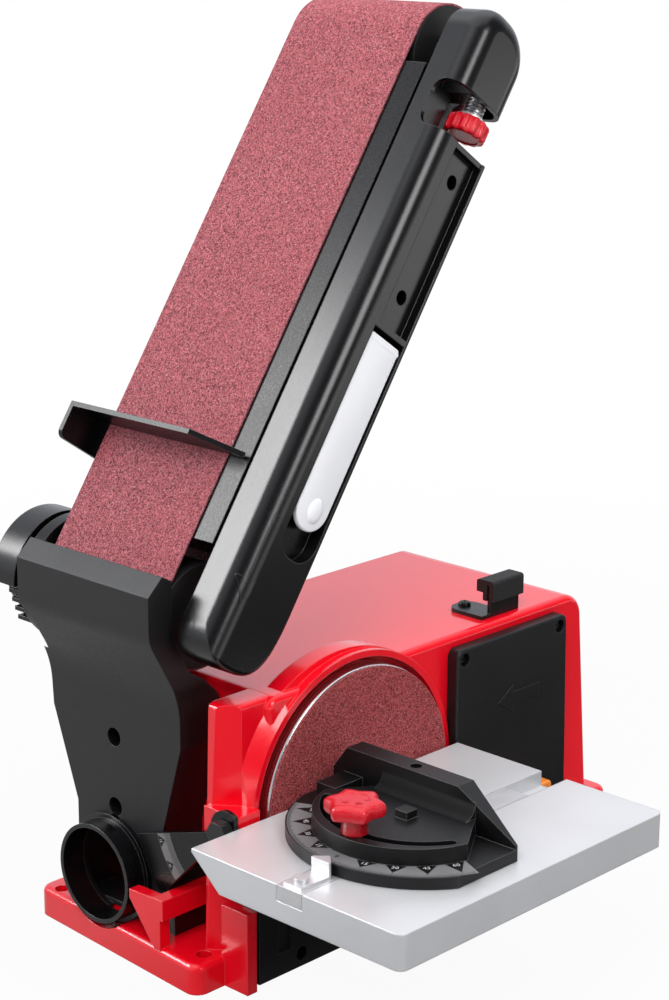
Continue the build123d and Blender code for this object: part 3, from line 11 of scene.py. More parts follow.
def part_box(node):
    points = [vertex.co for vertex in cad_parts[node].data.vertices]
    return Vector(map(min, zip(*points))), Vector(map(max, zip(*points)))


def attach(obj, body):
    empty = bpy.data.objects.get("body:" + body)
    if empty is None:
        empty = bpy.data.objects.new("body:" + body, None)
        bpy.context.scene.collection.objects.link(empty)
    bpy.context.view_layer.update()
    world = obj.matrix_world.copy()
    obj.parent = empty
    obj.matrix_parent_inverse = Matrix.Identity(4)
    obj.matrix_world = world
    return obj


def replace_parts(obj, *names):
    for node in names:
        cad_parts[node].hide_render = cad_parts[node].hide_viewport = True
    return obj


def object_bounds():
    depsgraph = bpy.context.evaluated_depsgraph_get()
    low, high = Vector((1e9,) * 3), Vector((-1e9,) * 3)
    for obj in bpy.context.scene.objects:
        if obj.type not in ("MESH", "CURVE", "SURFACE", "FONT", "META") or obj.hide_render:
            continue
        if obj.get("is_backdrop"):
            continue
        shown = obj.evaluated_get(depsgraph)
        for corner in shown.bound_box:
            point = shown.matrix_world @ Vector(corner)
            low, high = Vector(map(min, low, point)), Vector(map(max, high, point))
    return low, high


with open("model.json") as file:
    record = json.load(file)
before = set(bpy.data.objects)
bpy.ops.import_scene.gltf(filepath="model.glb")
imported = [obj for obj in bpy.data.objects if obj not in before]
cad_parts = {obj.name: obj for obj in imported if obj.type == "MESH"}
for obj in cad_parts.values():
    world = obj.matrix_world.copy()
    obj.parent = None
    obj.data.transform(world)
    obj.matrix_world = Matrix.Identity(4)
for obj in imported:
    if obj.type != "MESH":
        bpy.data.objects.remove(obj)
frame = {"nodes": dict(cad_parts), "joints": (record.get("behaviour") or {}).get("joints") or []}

bl_info = {
    "name": "Belt and disc sander",
    "version": (1, 0, 0),
    "blender": (4, 5, 0),
    "location": "3D View > Sidebar > Sander",
    "description": "Finishes, scales, knobs and small fittings of a bench sander",
    "category": "Object",
}

CAD_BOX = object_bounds()
NODES = frame["nodes"]
JOINTS = {joint["name"]: joint for joint in frame["joints"]}
MM = 0.001
AXIS_X = Vector((1, 0, 0))
AXIS_Y = Vector((0, 1, 0))
AXIS_Z = Vector((0, 0, 1))


# Places read from the frame
def joint_at(name):
    return Vector(JOINTS[name]["pos_m"])


def joint_axis(name):
    return Vector(JOINTS[name]["axis"]).normalized()


ARM_PIVOT = joint_at("arm_tilt")
ARM_U = joint_axis("tension_slide")
ARM_V = ARM_U.cross(AXIS_Y)
COVER_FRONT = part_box("arm_cover")[0].y


def on_arm(u, y, v):
    """Point given along the arm, across it (the part's own Y) and up from its middle line."""
    return Vector((ARM_PIVOT.x, y, ARM_PIVOT.z)) + u * ARM_U + v * ARM_V


def flat_place(origin, across, up, out):
    """Function that puts a drawing's point (a, b) and height h on a plane."""
    return lambda a, b, h: origin + a * across + b * up + h * out


# Settings that a user may change
def colour(name, value):
    return FloatVectorProperty(name=name, description=f"{name} of the sander", default=value, size=3,
                               min=0.0, max=1.0, subtype="COLOR")


def length(name, description, value):
    return FloatProperty(name=name, description=description, default=value * MM, min=0.0,
                         subtype="DISTANCE", unit="LENGTH")


def lobe_count(name, description, value):
    return IntProperty(name=name, description=description, default=value, min=3)


def power(name, description, value):
    return FloatProperty(name=name, description=description, default=value, min=0.0, unit="POWER")


class SanderColours(bpy.types.PropertyGroup):
    """Colours of the finishes, one for each material slot, and of the printed scales."""
    casting_red: colour("Casting enamel", (0.82, 0.002, 0.013))
    cover_black: colour("Cover plastic", (0.0025, 0.0025, 0.003))
    hood_black: colour("Hood plastic", (0.004, 0.004, 0.0048))
    steel_black: colour("Black coated steel", (0.003, 0.003, 0.0035))
    arm_black: colour("Arm enamel", (0.004, 0.004, 0.0046))
    gauge_black: colour("Gauge enamel", (0.003, 0.003, 0.0035))
    rubber_black: colour("Rubber", (0.008, 0.008, 0.008))
    belt_grit: colour("Belt abrasive", (0.345, 0.044, 0.066))
    disc_grit: colour("Disc abrasive", (0.29, 0.003, 0.007))
    table_light: colour("Table coating", (0.63, 0.635, 0.655))
    alloy: colour("Turned alloy", (0.78, 0.79, 0.81))
    bright_steel: colour("Zinc plated steel", (0.70, 0.70, 0.715))
    shaft_steel: colour("Ground steel", (0.56, 0.56, 0.57))
    lever_white: colour("Lever plastic", (0.82, 0.825, 0.85))
    knob_red: colour("Red knobs", (0.56, 0.004, 0.015))
    knob_black: colour("Black knob", (0.007, 0.007, 0.0077))
    switch_orange: colour("Switch frame", (0.83, 0.24, 0.03))
    button_green: colour("Start button", (0.02, 0.30, 0.07))
    button_red: colour("Stop button", (0.55, 0.012, 0.012))
    core_steel: colour("Motor laminations", (0.26, 0.26, 0.28))
    copper: colour("Winding wire", (0.66, 0.27, 0.10))
    pulley_black: colour("Pulley plastic", (0.006, 0.006, 0.0065))
    scale_grey: colour("Scale ground", (0.16, 0.16, 0.165))
    scale_pale: colour("Scale figures", (0.50, 0.50, 0.51))
    floor_pale: colour("Floor", (0.50, 0.50, 0.51))


class SanderSizes(bpy.types.PropertyGroup):
    """Sizes of the fine pieces."""
    knob_hollow: length("Gauge knob hollow", "Depth of the hollows between the gauge knob's lobes", 3.3)
    knob_lobes: lobe_count("Gauge knob lobes", "Lobes round the gauge knob", 6)
    track_hollow: length("Tracking knob hollow", "Depth of the grooves round the tracking knob", 1.5)
    track_lobes: lobe_count("Tracking knob lobes", "Lobes round the tracking knob", 12)
    lever_round: length("Lever edge", "Rounding of the tension lever's front edge", 1.2)
    lever_boss: length("Lever boss", "Radius of the thumb boss on the tension lever", 6.0)
    print_lift: length("Print lift", "Thickness of a printed scale", 0.12)
    emboss: length("Emboss", "Height of the moulded arrows", 0.5)
    screw_slot: length("Screw recess", "Half width of a screw's cross recess", 0.45)


class SanderLight(bpy.types.PropertyGroup):
    """Plain studio light and the camera's place."""
    ambient: FloatProperty(name="Ambient", description="Level of the room's light", default=0.45, min=0.0)
    overhead: power("Overhead", "Power of the lamp above", 18.0)
    front: power("Front", "Power of the lamp on the camera's left", 39.0)
    side: power("Side", "Power of the lamp on the camera's right", 21.0)
    back: power("Back", "Power of the lamp behind on the left", 28.0)
    low: power("Low", "Power of the low lamp in front", 22.0)
    eye: FloatVectorProperty(name="Camera place", description="Where the camera stands", size=3,
                             default=(-0.9693, -0.9250, 0.6017), subtype="TRANSLATION", unit="LENGTH")
    turn: FloatVectorProperty(name="Camera turn", description="Yaw, pitch down and roll of the camera",
                              size=3, subtype="EULER", unit="ROTATION",
                              default=tuple(math.radians(a) for a in (46.26, 15.19, -0.27)))
    lens: FloatProperty(name="Lens", description="Focal length over a 24 mm high frame", default=54.744,
                        min=1.0)


# Shader nodes
class Graph:
    """Adds and joins the nodes of one shader tree."""

    def __init__(self, tree):
        self.tree = tree

    def add(self, kind, inputs=None, **settings):
        node = self.tree.nodes.new(kind)
        for key, value in settings.items():
            setattr(node, key, value)
        for key, value in (inputs or {}).items():
            self.feed(node.inputs[key], value)
        return node

    def feed(self, socket, value):
        if isinstance(value, bpy.types.NodeSocket):
            self.tree.links.new(value, socket)
        elif socket.type == "RGBA":
            socket.default_value = (*value[:3], 1.0)
        else:
            socket.default_value = value

    def math(self, operation, *values, clamp=False):
        node = self.add("ShaderNodeMath", operation=operation, use_clamp=clamp)
        for socket, value in zip(node.inputs, values):
            self.feed(socket, value)
        return node.outputs[0]

    def vector(self, operation, *values):
        node = self.add("ShaderNodeVectorMath", operation=operation)
        for socket, value in zip(node.inputs, values):
            self.feed(socket, value)
        return node.outputs["Value" if operation in ("DOT_PRODUCT", "LENGTH") else "Vector"]

    def mix(self, factor, first, second):
        node = self.add("ShaderNodeMix", data_type="RGBA")
        for index, value in ((0, factor), (6, first), (7, second)):
            self.feed(node.inputs[index], value)
        return node.outputs[2]

    def spread(self, value, low, high, start=0.0, end=1.0):
        node = self.add("ShaderNodeMapRange", {"Value": value, "From Min": start, "From Max": end,
                                               "To Min": low, "To Max": high})
        return node.outputs["Result"]

    def noise(self, coords, scale, detail=2.0):
        node = self.add("ShaderNodeTexNoise", {"Vector": coords, "Scale": scale, "Detail": detail})
        return node.outputs[0]


def ray_kinds(graph):
    """Masks of rays from the camera, and of rays that gloss or glass sends on."""
    path = graph.add("ShaderNodeLightPath").outputs
    return path["Is Camera Ray"], graph.math("MAXIMUM", path["Is Glossy Ray"], path["Is Transmission Ray"])


def node_group(name, inputs, outputs, build):
    """Shader node group, made once, whose build function gives its outputs by name."""
    tree = bpy.data.node_groups.get(name)
    if tree:
        return tree
    tree = bpy.data.node_groups.new(name, "ShaderNodeTree")
    for label, kind, value in inputs:
        socket = tree.interface.new_socket(label, in_out="INPUT", socket_type=kind)
        socket.default_value = value
    for label, kind in outputs:
        tree.interface.new_socket(label, in_out="OUTPUT", socket_type=kind)
    graph = Graph(tree)
    given = graph.add("NodeGroupInput").outputs
    end = graph.add("NodeGroupOutput")
    for label, value in build(graph, given).items():
        tree.links.new(value, end.inputs[label])
    return tree


def soft_edges():
    """Rounded normal at an edge, and a mask of where edges are."""
    def build(graph, given):
        bevel = graph.add("ShaderNodeBevel", {"Radius": given["Radius"]}, samples=4)
        plain = graph.add("ShaderNodeNewGeometry").outputs["Normal"]
        along = graph.vector("DOT_PRODUCT", bevel.outputs["Normal"], plain)
        edge = graph.math("MULTIPLY", graph.math("SUBTRACT", 1.0, along), 5.0, clamp=True)
        return {"Normal": bevel.outputs["Normal"], "Edge": edge}
    return node_group("soft_edges", [("Radius", "NodeSocketFloat", 0.0006)],
                      [("Normal", "NodeSocketVector"), ("Edge", "NodeSocketFloat")], build)


def surface_grain():
    """Fine grain and broad clouds over a surface."""
    def build(graph, given):
        coords = graph.add("ShaderNodeTexCoord").outputs["Object"]
        cloud = graph.noise(coords, given["Cloud Scale"], 3.0)
        return {"Grain": graph.noise(coords, given["Grain Scale"]),
                "Cloud": graph.spread(cloud, 0.0, 1.0, 0.3, 0.7)}
    return node_group("surface_grain",
                      [("Grain Scale", "NodeSocketFloat", 900.0), ("Cloud Scale", "NodeSocketFloat", 20.0)],
                      [("Grain", "NodeSocketFloat"), ("Cloud", "NodeSocketFloat")], build)


def bonded_grit():
    """Abrasive grains: each has its own tone and height, and a few glint."""
    def build(graph, given):
        coords = graph.add("ShaderNodeTexCoord").outputs["Object"]
        cells = graph.add("ShaderNodeTexVoronoi", {"Vector": coords, "Scale": given["Scale"]})
        parts = graph.add("ShaderNodeSeparateColor", {"Color": cells.outputs["Color"]}).outputs
        patch = graph.noise(coords, graph.math("MULTIPLY", given["Scale"], 0.4), 3.0)
        tone = graph.math("ADD", graph.spread(parts["Red"], 0.0, 1.0, 0.1, 0.9),
                          graph.spread(patch, -0.12, 0.12, 0.25, 0.75), clamp=True)
        glint = graph.math("GREATER_THAN", parts["Green"], 0.975)
        body = graph.mix(tone, given["Dark"], given["Light"])
        rise = graph.math("SUBTRACT", 1.0, cells.outputs["Distance"])
        return {"Colour": graph.mix(graph.math("MULTIPLY", glint, 0.3), body, given["Glint Colour"]),
                "Height": graph.math("MULTIPLY", rise, graph.spread(parts["Blue"], 0.5, 1.0)),
                "Glint": glint}
    return node_group("bonded_grit",
                      [("Scale", "NodeSocketFloat", 800.0),
                       ("Dark", "NodeSocketColor", (0.2, 0.04, 0.05, 1.0)),
                       ("Light", "NodeSocketColor", (0.6, 0.2, 0.22, 1.0)),
                       ("Glint Colour", "NodeSocketColor", (0.8, 0.6, 0.6, 1.0))],
                      [("Colour", "NodeSocketColor"), ("Height", "NodeSocketFloat"),
                       ("Glint", "NodeSocketFloat")], build)


def drawn_lines():
    """Fine lines left by rolling or grinding, along one direction."""
    def build(graph, given):
        coords = graph.add("ShaderNodeTexCoord").outputs["Object"]
        return {"Line": graph.noise(graph.vector("MULTIPLY", coords, given["Stretch"]), 1.0, 3.0)}
    return node_group("drawn_lines", [("Stretch", "NodeSocketVector", (40.0, 900.0, 900.0))],
                      [("Line", "NodeSocketFloat")], build)


def turned_rings():
    """Rings left by a lathe round an axis along Y."""
    def build(graph, given):
        coords = graph.add("ShaderNodeTexCoord").outputs["Object"]
        offset = graph.vector("MULTIPLY", graph.vector("SUBTRACT", coords, given["Centre"]), (1.0, 0.0, 1.0))
        reach = graph.vector("LENGTH", offset)
        depth = graph.add("ShaderNodeSeparateXYZ", {"Vector": coords}).outputs["Y"]
        joined = graph.add("ShaderNodeCombineXYZ", {"X": reach, "Y": depth})
        return {"Ring": graph.noise(joined.outputs[0], given["Scale"], 2.0)}
    return node_group("turned_rings", [("Centre", "NodeSocketVector", (0.0, 0.0, 0.0)),
                                       ("Scale", "NodeSocketFloat", 1500.0)],
                      [("Ring", "NodeSocketFloat")], build)


def cast_hollow():
    """Mask of a hollow that turns from upwards to a face along -X, left rough from the mould."""
    def build(graph, given):
        facing = graph.add("ShaderNodeTexCoord").outputs["Normal"]
        parts = graph.add("ShaderNodeSeparateXYZ", {"Vector": facing}).outputs
        turned = graph.math("MULTIPLY", graph.math("MULTIPLY", parts["X"], parts["Z"]), -2.0, clamp=True)
        return {"Hollow": turned}
    return node_group("cast_hollow", [], [("Hollow", "NodeSocketFloat")], build)


class Finish:
    """One material: a Principled shader with its edges and grain already placed."""

    def __init__(self, name, edge, grain, cloud, **constants):
        self.material = bpy.data.materials.new(f"finish_{name}")
        self.material.use_nodes = True
        self.graph = Graph(self.material.node_tree)
        self.shader = self.material.node_tree.nodes["Principled BSDF"]
        for label, value in constants.items():
            self.shader.inputs[label.replace("_", " ")].default_value = value
        self.edges = self.place(soft_edges(), {"Radius": edge * MM})
        self.surface = self.place(surface_grain(), {"Grain Scale": grain, "Cloud Scale": cloud})

    def place(self, tree, inputs=None):
        return self.graph.add("ShaderNodeGroup", inputs, node_tree=tree).outputs

    def colour(self, value):
        self.graph.feed(self.shader.inputs["Base Color"], value)

    def rough(self, value):
        self.graph.feed(self.shader.inputs["Roughness"], value)

    def relief(self, height, strength, depth=0.2):
        bump = self.graph.add("ShaderNodeBump", {"Strength": strength, "Distance": depth * MM,
                                                 "Height": height, "Normal": self.edges["Normal"]})
        self.graph.feed(self.shader.inputs["Normal"], bump.outputs[0])


def tinted(value, factor):
    return tuple(min(1.0, part * factor) for part in value)


def settings():
    """The scene's colours, sizes and light."""
    return [getattr(bpy.context.scene, name) for name in GROUPS]


def coated(name, rough, spread, tone, bump, edge_highlight, grain, cloud, edge, hollow=0.0, **constants):
    """Paint or moulded plastic: clouded tone, grained gloss, edges painted paler as a highlight, and rougher
    hollows.
    """
    base = getattr(settings()[0], name)
    made = Finish(name, edge, grain, cloud, **constants)
    graph = made.graph
    body = graph.mix(made.surface["Cloud"], tinted(base, 1.0 - tone), tinted(base, 1.0 + tone))
    # rim is a painted highlight: the edge mask lightens edges towards white
    rim = tuple(part + (1.0 - part) * 0.12 for part in base)
    made.colour(graph.mix(graph.math("MULTIPLY", made.edges["Edge"], edge_highlight), body, rim))
    gloss = graph.math("ADD", graph.spread(made.surface["Grain"], -spread, spread, 0.3, 0.7),
                       graph.spread(made.surface["Cloud"], rough - spread / 2, rough + spread / 2))
    if hollow:
        gloss = graph.math("MULTIPLY_ADD", made.place(cast_hollow())["Hollow"], hollow, gloss)
    made.rough(gloss)
    made.relief(made.surface["Grain"], bump)
    return made.material


def abrasive(name, scale):
    """Grit bonded on cloth or paper, with the pale backing showing at the cut edges."""
    base = getattr(settings()[0], name)
    made = Finish(name, 0.3, 600.0, 12.0, Specular_IOR_Level=0.35)
    graph = made.graph
    pale = tuple(part * 1.4 + 0.09 for part in base)
    grit = made.place(bonded_grit(), {"Scale": scale, "Dark": tinted(base, 0.3), "Light": pale,
                                      "Glint Colour": (0.80, 0.56, 0.58)})
    worn = graph.mix(graph.math("MULTIPLY", made.surface["Cloud"], 0.18), grit["Colour"], tinted(base, 0.7))
    edge = graph.math("MULTIPLY", made.edges["Edge"], 0.55)
    made.colour(graph.mix(edge, worn, (0.62, 0.45, 0.42)))
    made.rough(graph.spread(grit["Glint"], 0.78, 0.30))
    made.relief(grit["Height"], 0.55, 0.4)
    return made.material


def drawn_metal(name, rough, stretch, metallic=1.0):
    """Bare metal with lines along one direction."""
    base = getattr(settings()[0], name)
    made = Finish(name, 0.4, 1100.0, 30.0, Metallic=metallic)
    graph = made.graph
    line = made.place(drawn_lines(), {"Stretch": stretch})["Line"]
    tone = graph.mix(graph.spread(line, 0.0, 1.0, 0.35, 0.65), tinted(base, 0.94), tinted(base, 1.05))
    made.colour(graph.mix(graph.math("MULTIPLY", made.surface["Cloud"], 0.10), tone, tinted(base, 0.75)))
    made.rough(graph.spread(line, rough - 0.06, rough + 0.10, 0.3, 0.7))
    made.relief(line, 0.05, 0.1)
    return made.material


def turned_metal(name, rough, centre):
    """Metal faced on a lathe."""
    base = getattr(settings()[0], name)
    made = Finish(name, 0.5, 1000.0, 25.0, Metallic=1.0)
    graph = made.graph
    ring = made.place(turned_rings(), {"Centre": centre, "Scale": 1400.0})["Ring"]
    made.colour(graph.mix(graph.spread(ring, 0.0, 1.0, 0.35, 0.65), tinted(base, 0.85), tinted(base, 1.1)))
    made.rough(graph.spread(ring, rough - 0.05, rough + 0.1, 0.3, 0.7))
    made.relief(ring, 0.15, 0.1)
    return made.material


def banded(name, rough, metallic, scale):
    """Stacked sheets or wound wire: fine bands across Y."""
    base = getattr(settings()[0], name)
    made = Finish(name, 0.3, 1200.0, 40.0, Metallic=metallic)
    graph = made.graph
    line = made.place(drawn_lines(), {"Stretch": (20.0, scale, 20.0)})["Line"]
    made.colour(graph.mix(graph.spread(line, 0.0, 1.0, 0.4, 0.6), tinted(base, 0.6), tinted(base, 1.15)))
    made.rough(graph.spread(made.surface["Grain"], rough - 0.08, rough + 0.08, 0.3, 0.7))
    made.relief(line, 0.5, 0.3)
    return made.material


# Painted and moulded finishes: roughness, its spread, tone, bump, painted edge highlight, grain, cloud and
# edge in mm
COATED = {
    "casting_red": (0.20, 0.05, 0.03, 0.035, 0.35, 420.0, 9.0, 1.0),
    "cover_black": (0.24, 0.03, 0.15, 0.02, 0.25, 1500.0, 14.0, 0.8),
    "hood_black": (0.46, 0.08, 0.2, 0.22, 0.2, 1300.0, 16.0, 0.8),
    "steel_black": (0.30, 0.05, 0.2, 0.05, 0.6, 1600.0, 30.0, 0.4),
    "arm_black": (0.28, 0.04, 0.2, 0.03, 0.6, 700.0, 18.0, 0.8),
    "gauge_black": (0.42, 0.04, 0.2, 0.02, 1.0, 900.0, 25.0, 0.6),
    "rubber_black": (0.66, 0.08, 0.2, 0.2, 0.15, 1400.0, 30.0, 0.6),
    "table_light": (0.36, 0.06, 0.03, 0.04, 0.9, 1500.0, 20.0, 1.2),
    "lever_white": (0.34, 0.05, 0.02, 0.05, 0.3, 1300.0, 15.0, 0.5),
    "knob_red": (0.30, 0.05, 0.05, 0.03, 0.3, 1100.0, 30.0, 0.5),
    "knob_black": (0.36, 0.06, 0.2, 0.08, 0.3, 1200.0, 30.0, 0.6),
    "switch_orange": (0.35, 0.06, 0.05, 0.06, 0.2, 1200.0, 30.0, 0.6),
    "button_green": (0.30, 0.05, 0.05, 0.05, 0.2, 1200.0, 40.0, 0.6),
    "button_red": (0.30, 0.05, 0.05, 0.05, 0.2, 1200.0, 40.0, 0.6),
    "pulley_black": (0.50, 0.08, 0.2, 0.12, 0.2, 1200.0, 30.0, 0.5),
    "scale_grey": (0.45, 0.06, 0.08, 0.05, 0.0, 1500.0, 60.0, 0.1),
    "scale_pale": (0.50, 0.06, 0.05, 0.05, 0.0, 1500.0, 60.0, 0.1),
}
COATED_EXTRAS = {
    "casting_red": {"Coat_Weight": 0.4, "Coat_Roughness": 0.08},
    "steel_black": {"Specular_IOR_Level": 0.35},
    "arm_black": {"Specular_IOR_Level": 0.3},
    "gauge_black": {"hollow": 0.5, "Specular_IOR_Level": 0.36},
    "table_light": {"Metallic": 0.35},
    "knob_red": {"Coat_Weight": 0.15, "Coat_Roughness": 0.15},
}
OTHER_FINISHES = {
    "belt_grit": lambda name: abrasive(name, scale=1600.0),
    "disc_grit": lambda name: abrasive(name, scale=1900.0),
    "alloy": lambda name: turned_metal(name, 0.24, centre=joint_at("motor_spin")),
    "bright_steel": lambda name: drawn_metal(name, 0.42, (60.0, 900.0, 900.0), metallic=0.7),
    "shaft_steel": lambda name: drawn_metal(name, 0.30, (900.0, 60.0, 900.0)),
    "core_steel": lambda name: banded(name, 0.42, metallic=0.9, scale=1600.0),
    "copper": lambda name: banded(name, 0.32, metallic=0.9, scale=900.0),
}


def finish(name):
    """Material of that name, built when it is first asked for."""
    made = bpy.data.materials.get(f"finish_{name}")
    if made:
        return made
    if name in COATED:
        return coated(name, *COATED[name], **COATED_EXTRAS.get(name, {}))
    return OTHER_FINISHES[name](name)


def dress(slot, *nodes):
    """Gives nodes of the frame the finish of their material slot."""
    material = finish(slot)
    for name in nodes:
        node = NODES[name]
        if not node.material_slots:
            node.data.materials.append(material)
        for place in node.material_slots:
            place.material = material


# Meshes
class Shape:
    """Points and faces of one piece, added solid by solid."""

    def __init__(self):
        self.points = []
        self.faces = []

    def loft(self, rings):
        """Closed skin over rings of equally many points, with flat ends."""
        base = len(self.points)
        count = len(rings[0])
        for ring in rings:
            self.points.extend(ring)
        for low in range(base, base + (len(rings) - 1) * count, count):
            for k in range(count):
                nxt = (k + 1) % count
                self.faces.append((low + k, low + nxt, low + nxt + count, low + k + count))
        last = base + (len(rings) - 1) * count
        self.faces.append(tuple(range(base + count - 1, base - 1, -1)))
        self.faces.append(tuple(range(last, last + count)))

    def prism(self, outline, place, low, high):
        self.loft([[place(a, b, h) for a, b in outline] for h in (low, high)])

    def words(self, text, size, place, low, high):
        """Raised figures, centred on the place's origin."""
        curve = bpy.data.curves.new("figures", "FONT")
        curve.body = text
        curve.size = size
        curve.align_x = "CENTER"
        curve.align_y = "CENTER"
        curve.extrude = (high - low) / 2
        curve.resolution_u = 3
        holder = bpy.data.objects.new("figures", curve)
        bpy.context.scene.collection.objects.link(holder)
        bpy.context.view_layer.update()
        drawn = holder.evaluated_get(bpy.context.evaluated_depsgraph_get())
        mesh = bpy.data.meshes.new_from_object(drawn)
        base = len(self.points)
        middle = (low + high) / 2
        self.points.extend(place(v.co.x, v.co.y, v.co.z + middle) for v in mesh.vertices)
        self.faces.extend(tuple(base + i for i in face.vertices) for face in mesh.polygons)
        bpy.data.objects.remove(holder)
        bpy.data.curves.remove(curve)
        bpy.data.meshes.remove(mesh)

    def piece(self, name, body, slot, material=None, sharp=35.0):
        """Makes the object, riding on a body, with the given finish or else the finish of the slot."""
        mesh = bpy.data.meshes.new(name)
        mesh.from_pydata(self.points, [], self.faces)
        work = bmesh.new()
        work.from_mesh(mesh)
        bmesh.ops.remove_doubles(work, verts=work.verts, dist=1e-6)
        bmesh.ops.recalc_face_normals(work, faces=work.faces)
        work.to_mesh(mesh)
        work.free()
        mesh.polygons.foreach_set("use_smooth", [True] * len(mesh.polygons))
        mesh.set_sharp_from_angle(angle=math.radians(sharp))
        mesh.materials.append(finish(material or slot))
        made = bpy.data.objects.new(name, mesh)
        bpy.context.scene.collection.objects.link(made)
        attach(made, body)
        return made


def polar(radius, turn):
    return (radius * math.cos(turn), radius * math.sin(turn))


def circle(radius, count):
    return [polar(radius, 2 * math.pi * k / count) for k in range(count)]


def lobed_rings(profile, lobes, hollow, place, steps=12, power=1.4):
    """Rings of a knob: profile holds radius, share of the hollow and height; power narrows the hollows."""
    count = lobes * steps
    rings = []
    for radius, share, height in profile:
        ring = []
        for k in range(count):
            turn = 2 * math.pi * k / count
            dip = hollow * share * (0.5 - 0.5 * math.cos(lobes * turn)) ** power
            ring.append(place(*polar(radius - dip, turn), height))
        rings.append(ring)
    return rings


# Scales: heights of marks and figures are shares of the print's thickness
MARK_TOP = 1.8
FIGURE_TOP = 2.6


def add_band(shape, inner, outer, low, high, place, base, top, steps=48):
    """Part of a ring between two angles; inner and outer give the radius at an angle."""
    rings = []
    for k in range(steps + 1):
        turn = low + (high - low) * k / steps
        near, far = polar(inner(turn), turn), polar(outer(turn), turn)
        rings.append([place(*near, base), place(*far, base), place(*far, top), place(*near, top)])
    shape.loft(rings)


def add_tick(shape, r_in, r_out, turn, width, place, lift):
    """Line of a scale, drawn outwards from the middle."""
    along = polar(1.0, turn)
    side = (-along[1] * width / 2, along[0] * width / 2)
    outline = [(r * along[0] + s * side[0], r * along[1] + s * side[1])
               for r, s in ((r_in, -1), (r_out, -1), (r_out, 1), (r_in, 1))]
    shape.prism(outline, place, lift, lift * MARK_TOP)


def add_figure(shape, text, size, radius, turn, place, out, lift):
    """Number on a scale, with its head towards the middle; out is the scale's outward direction."""
    origin = place(*polar(radius, turn), 0.0)
    up = (place(0.0, 0.0, 0.0) - origin).normalized()
    shape.words(text, size, flat_place(origin, up.cross(out), up, out), lift * MARK_TOP, lift * FIGURE_TOP)


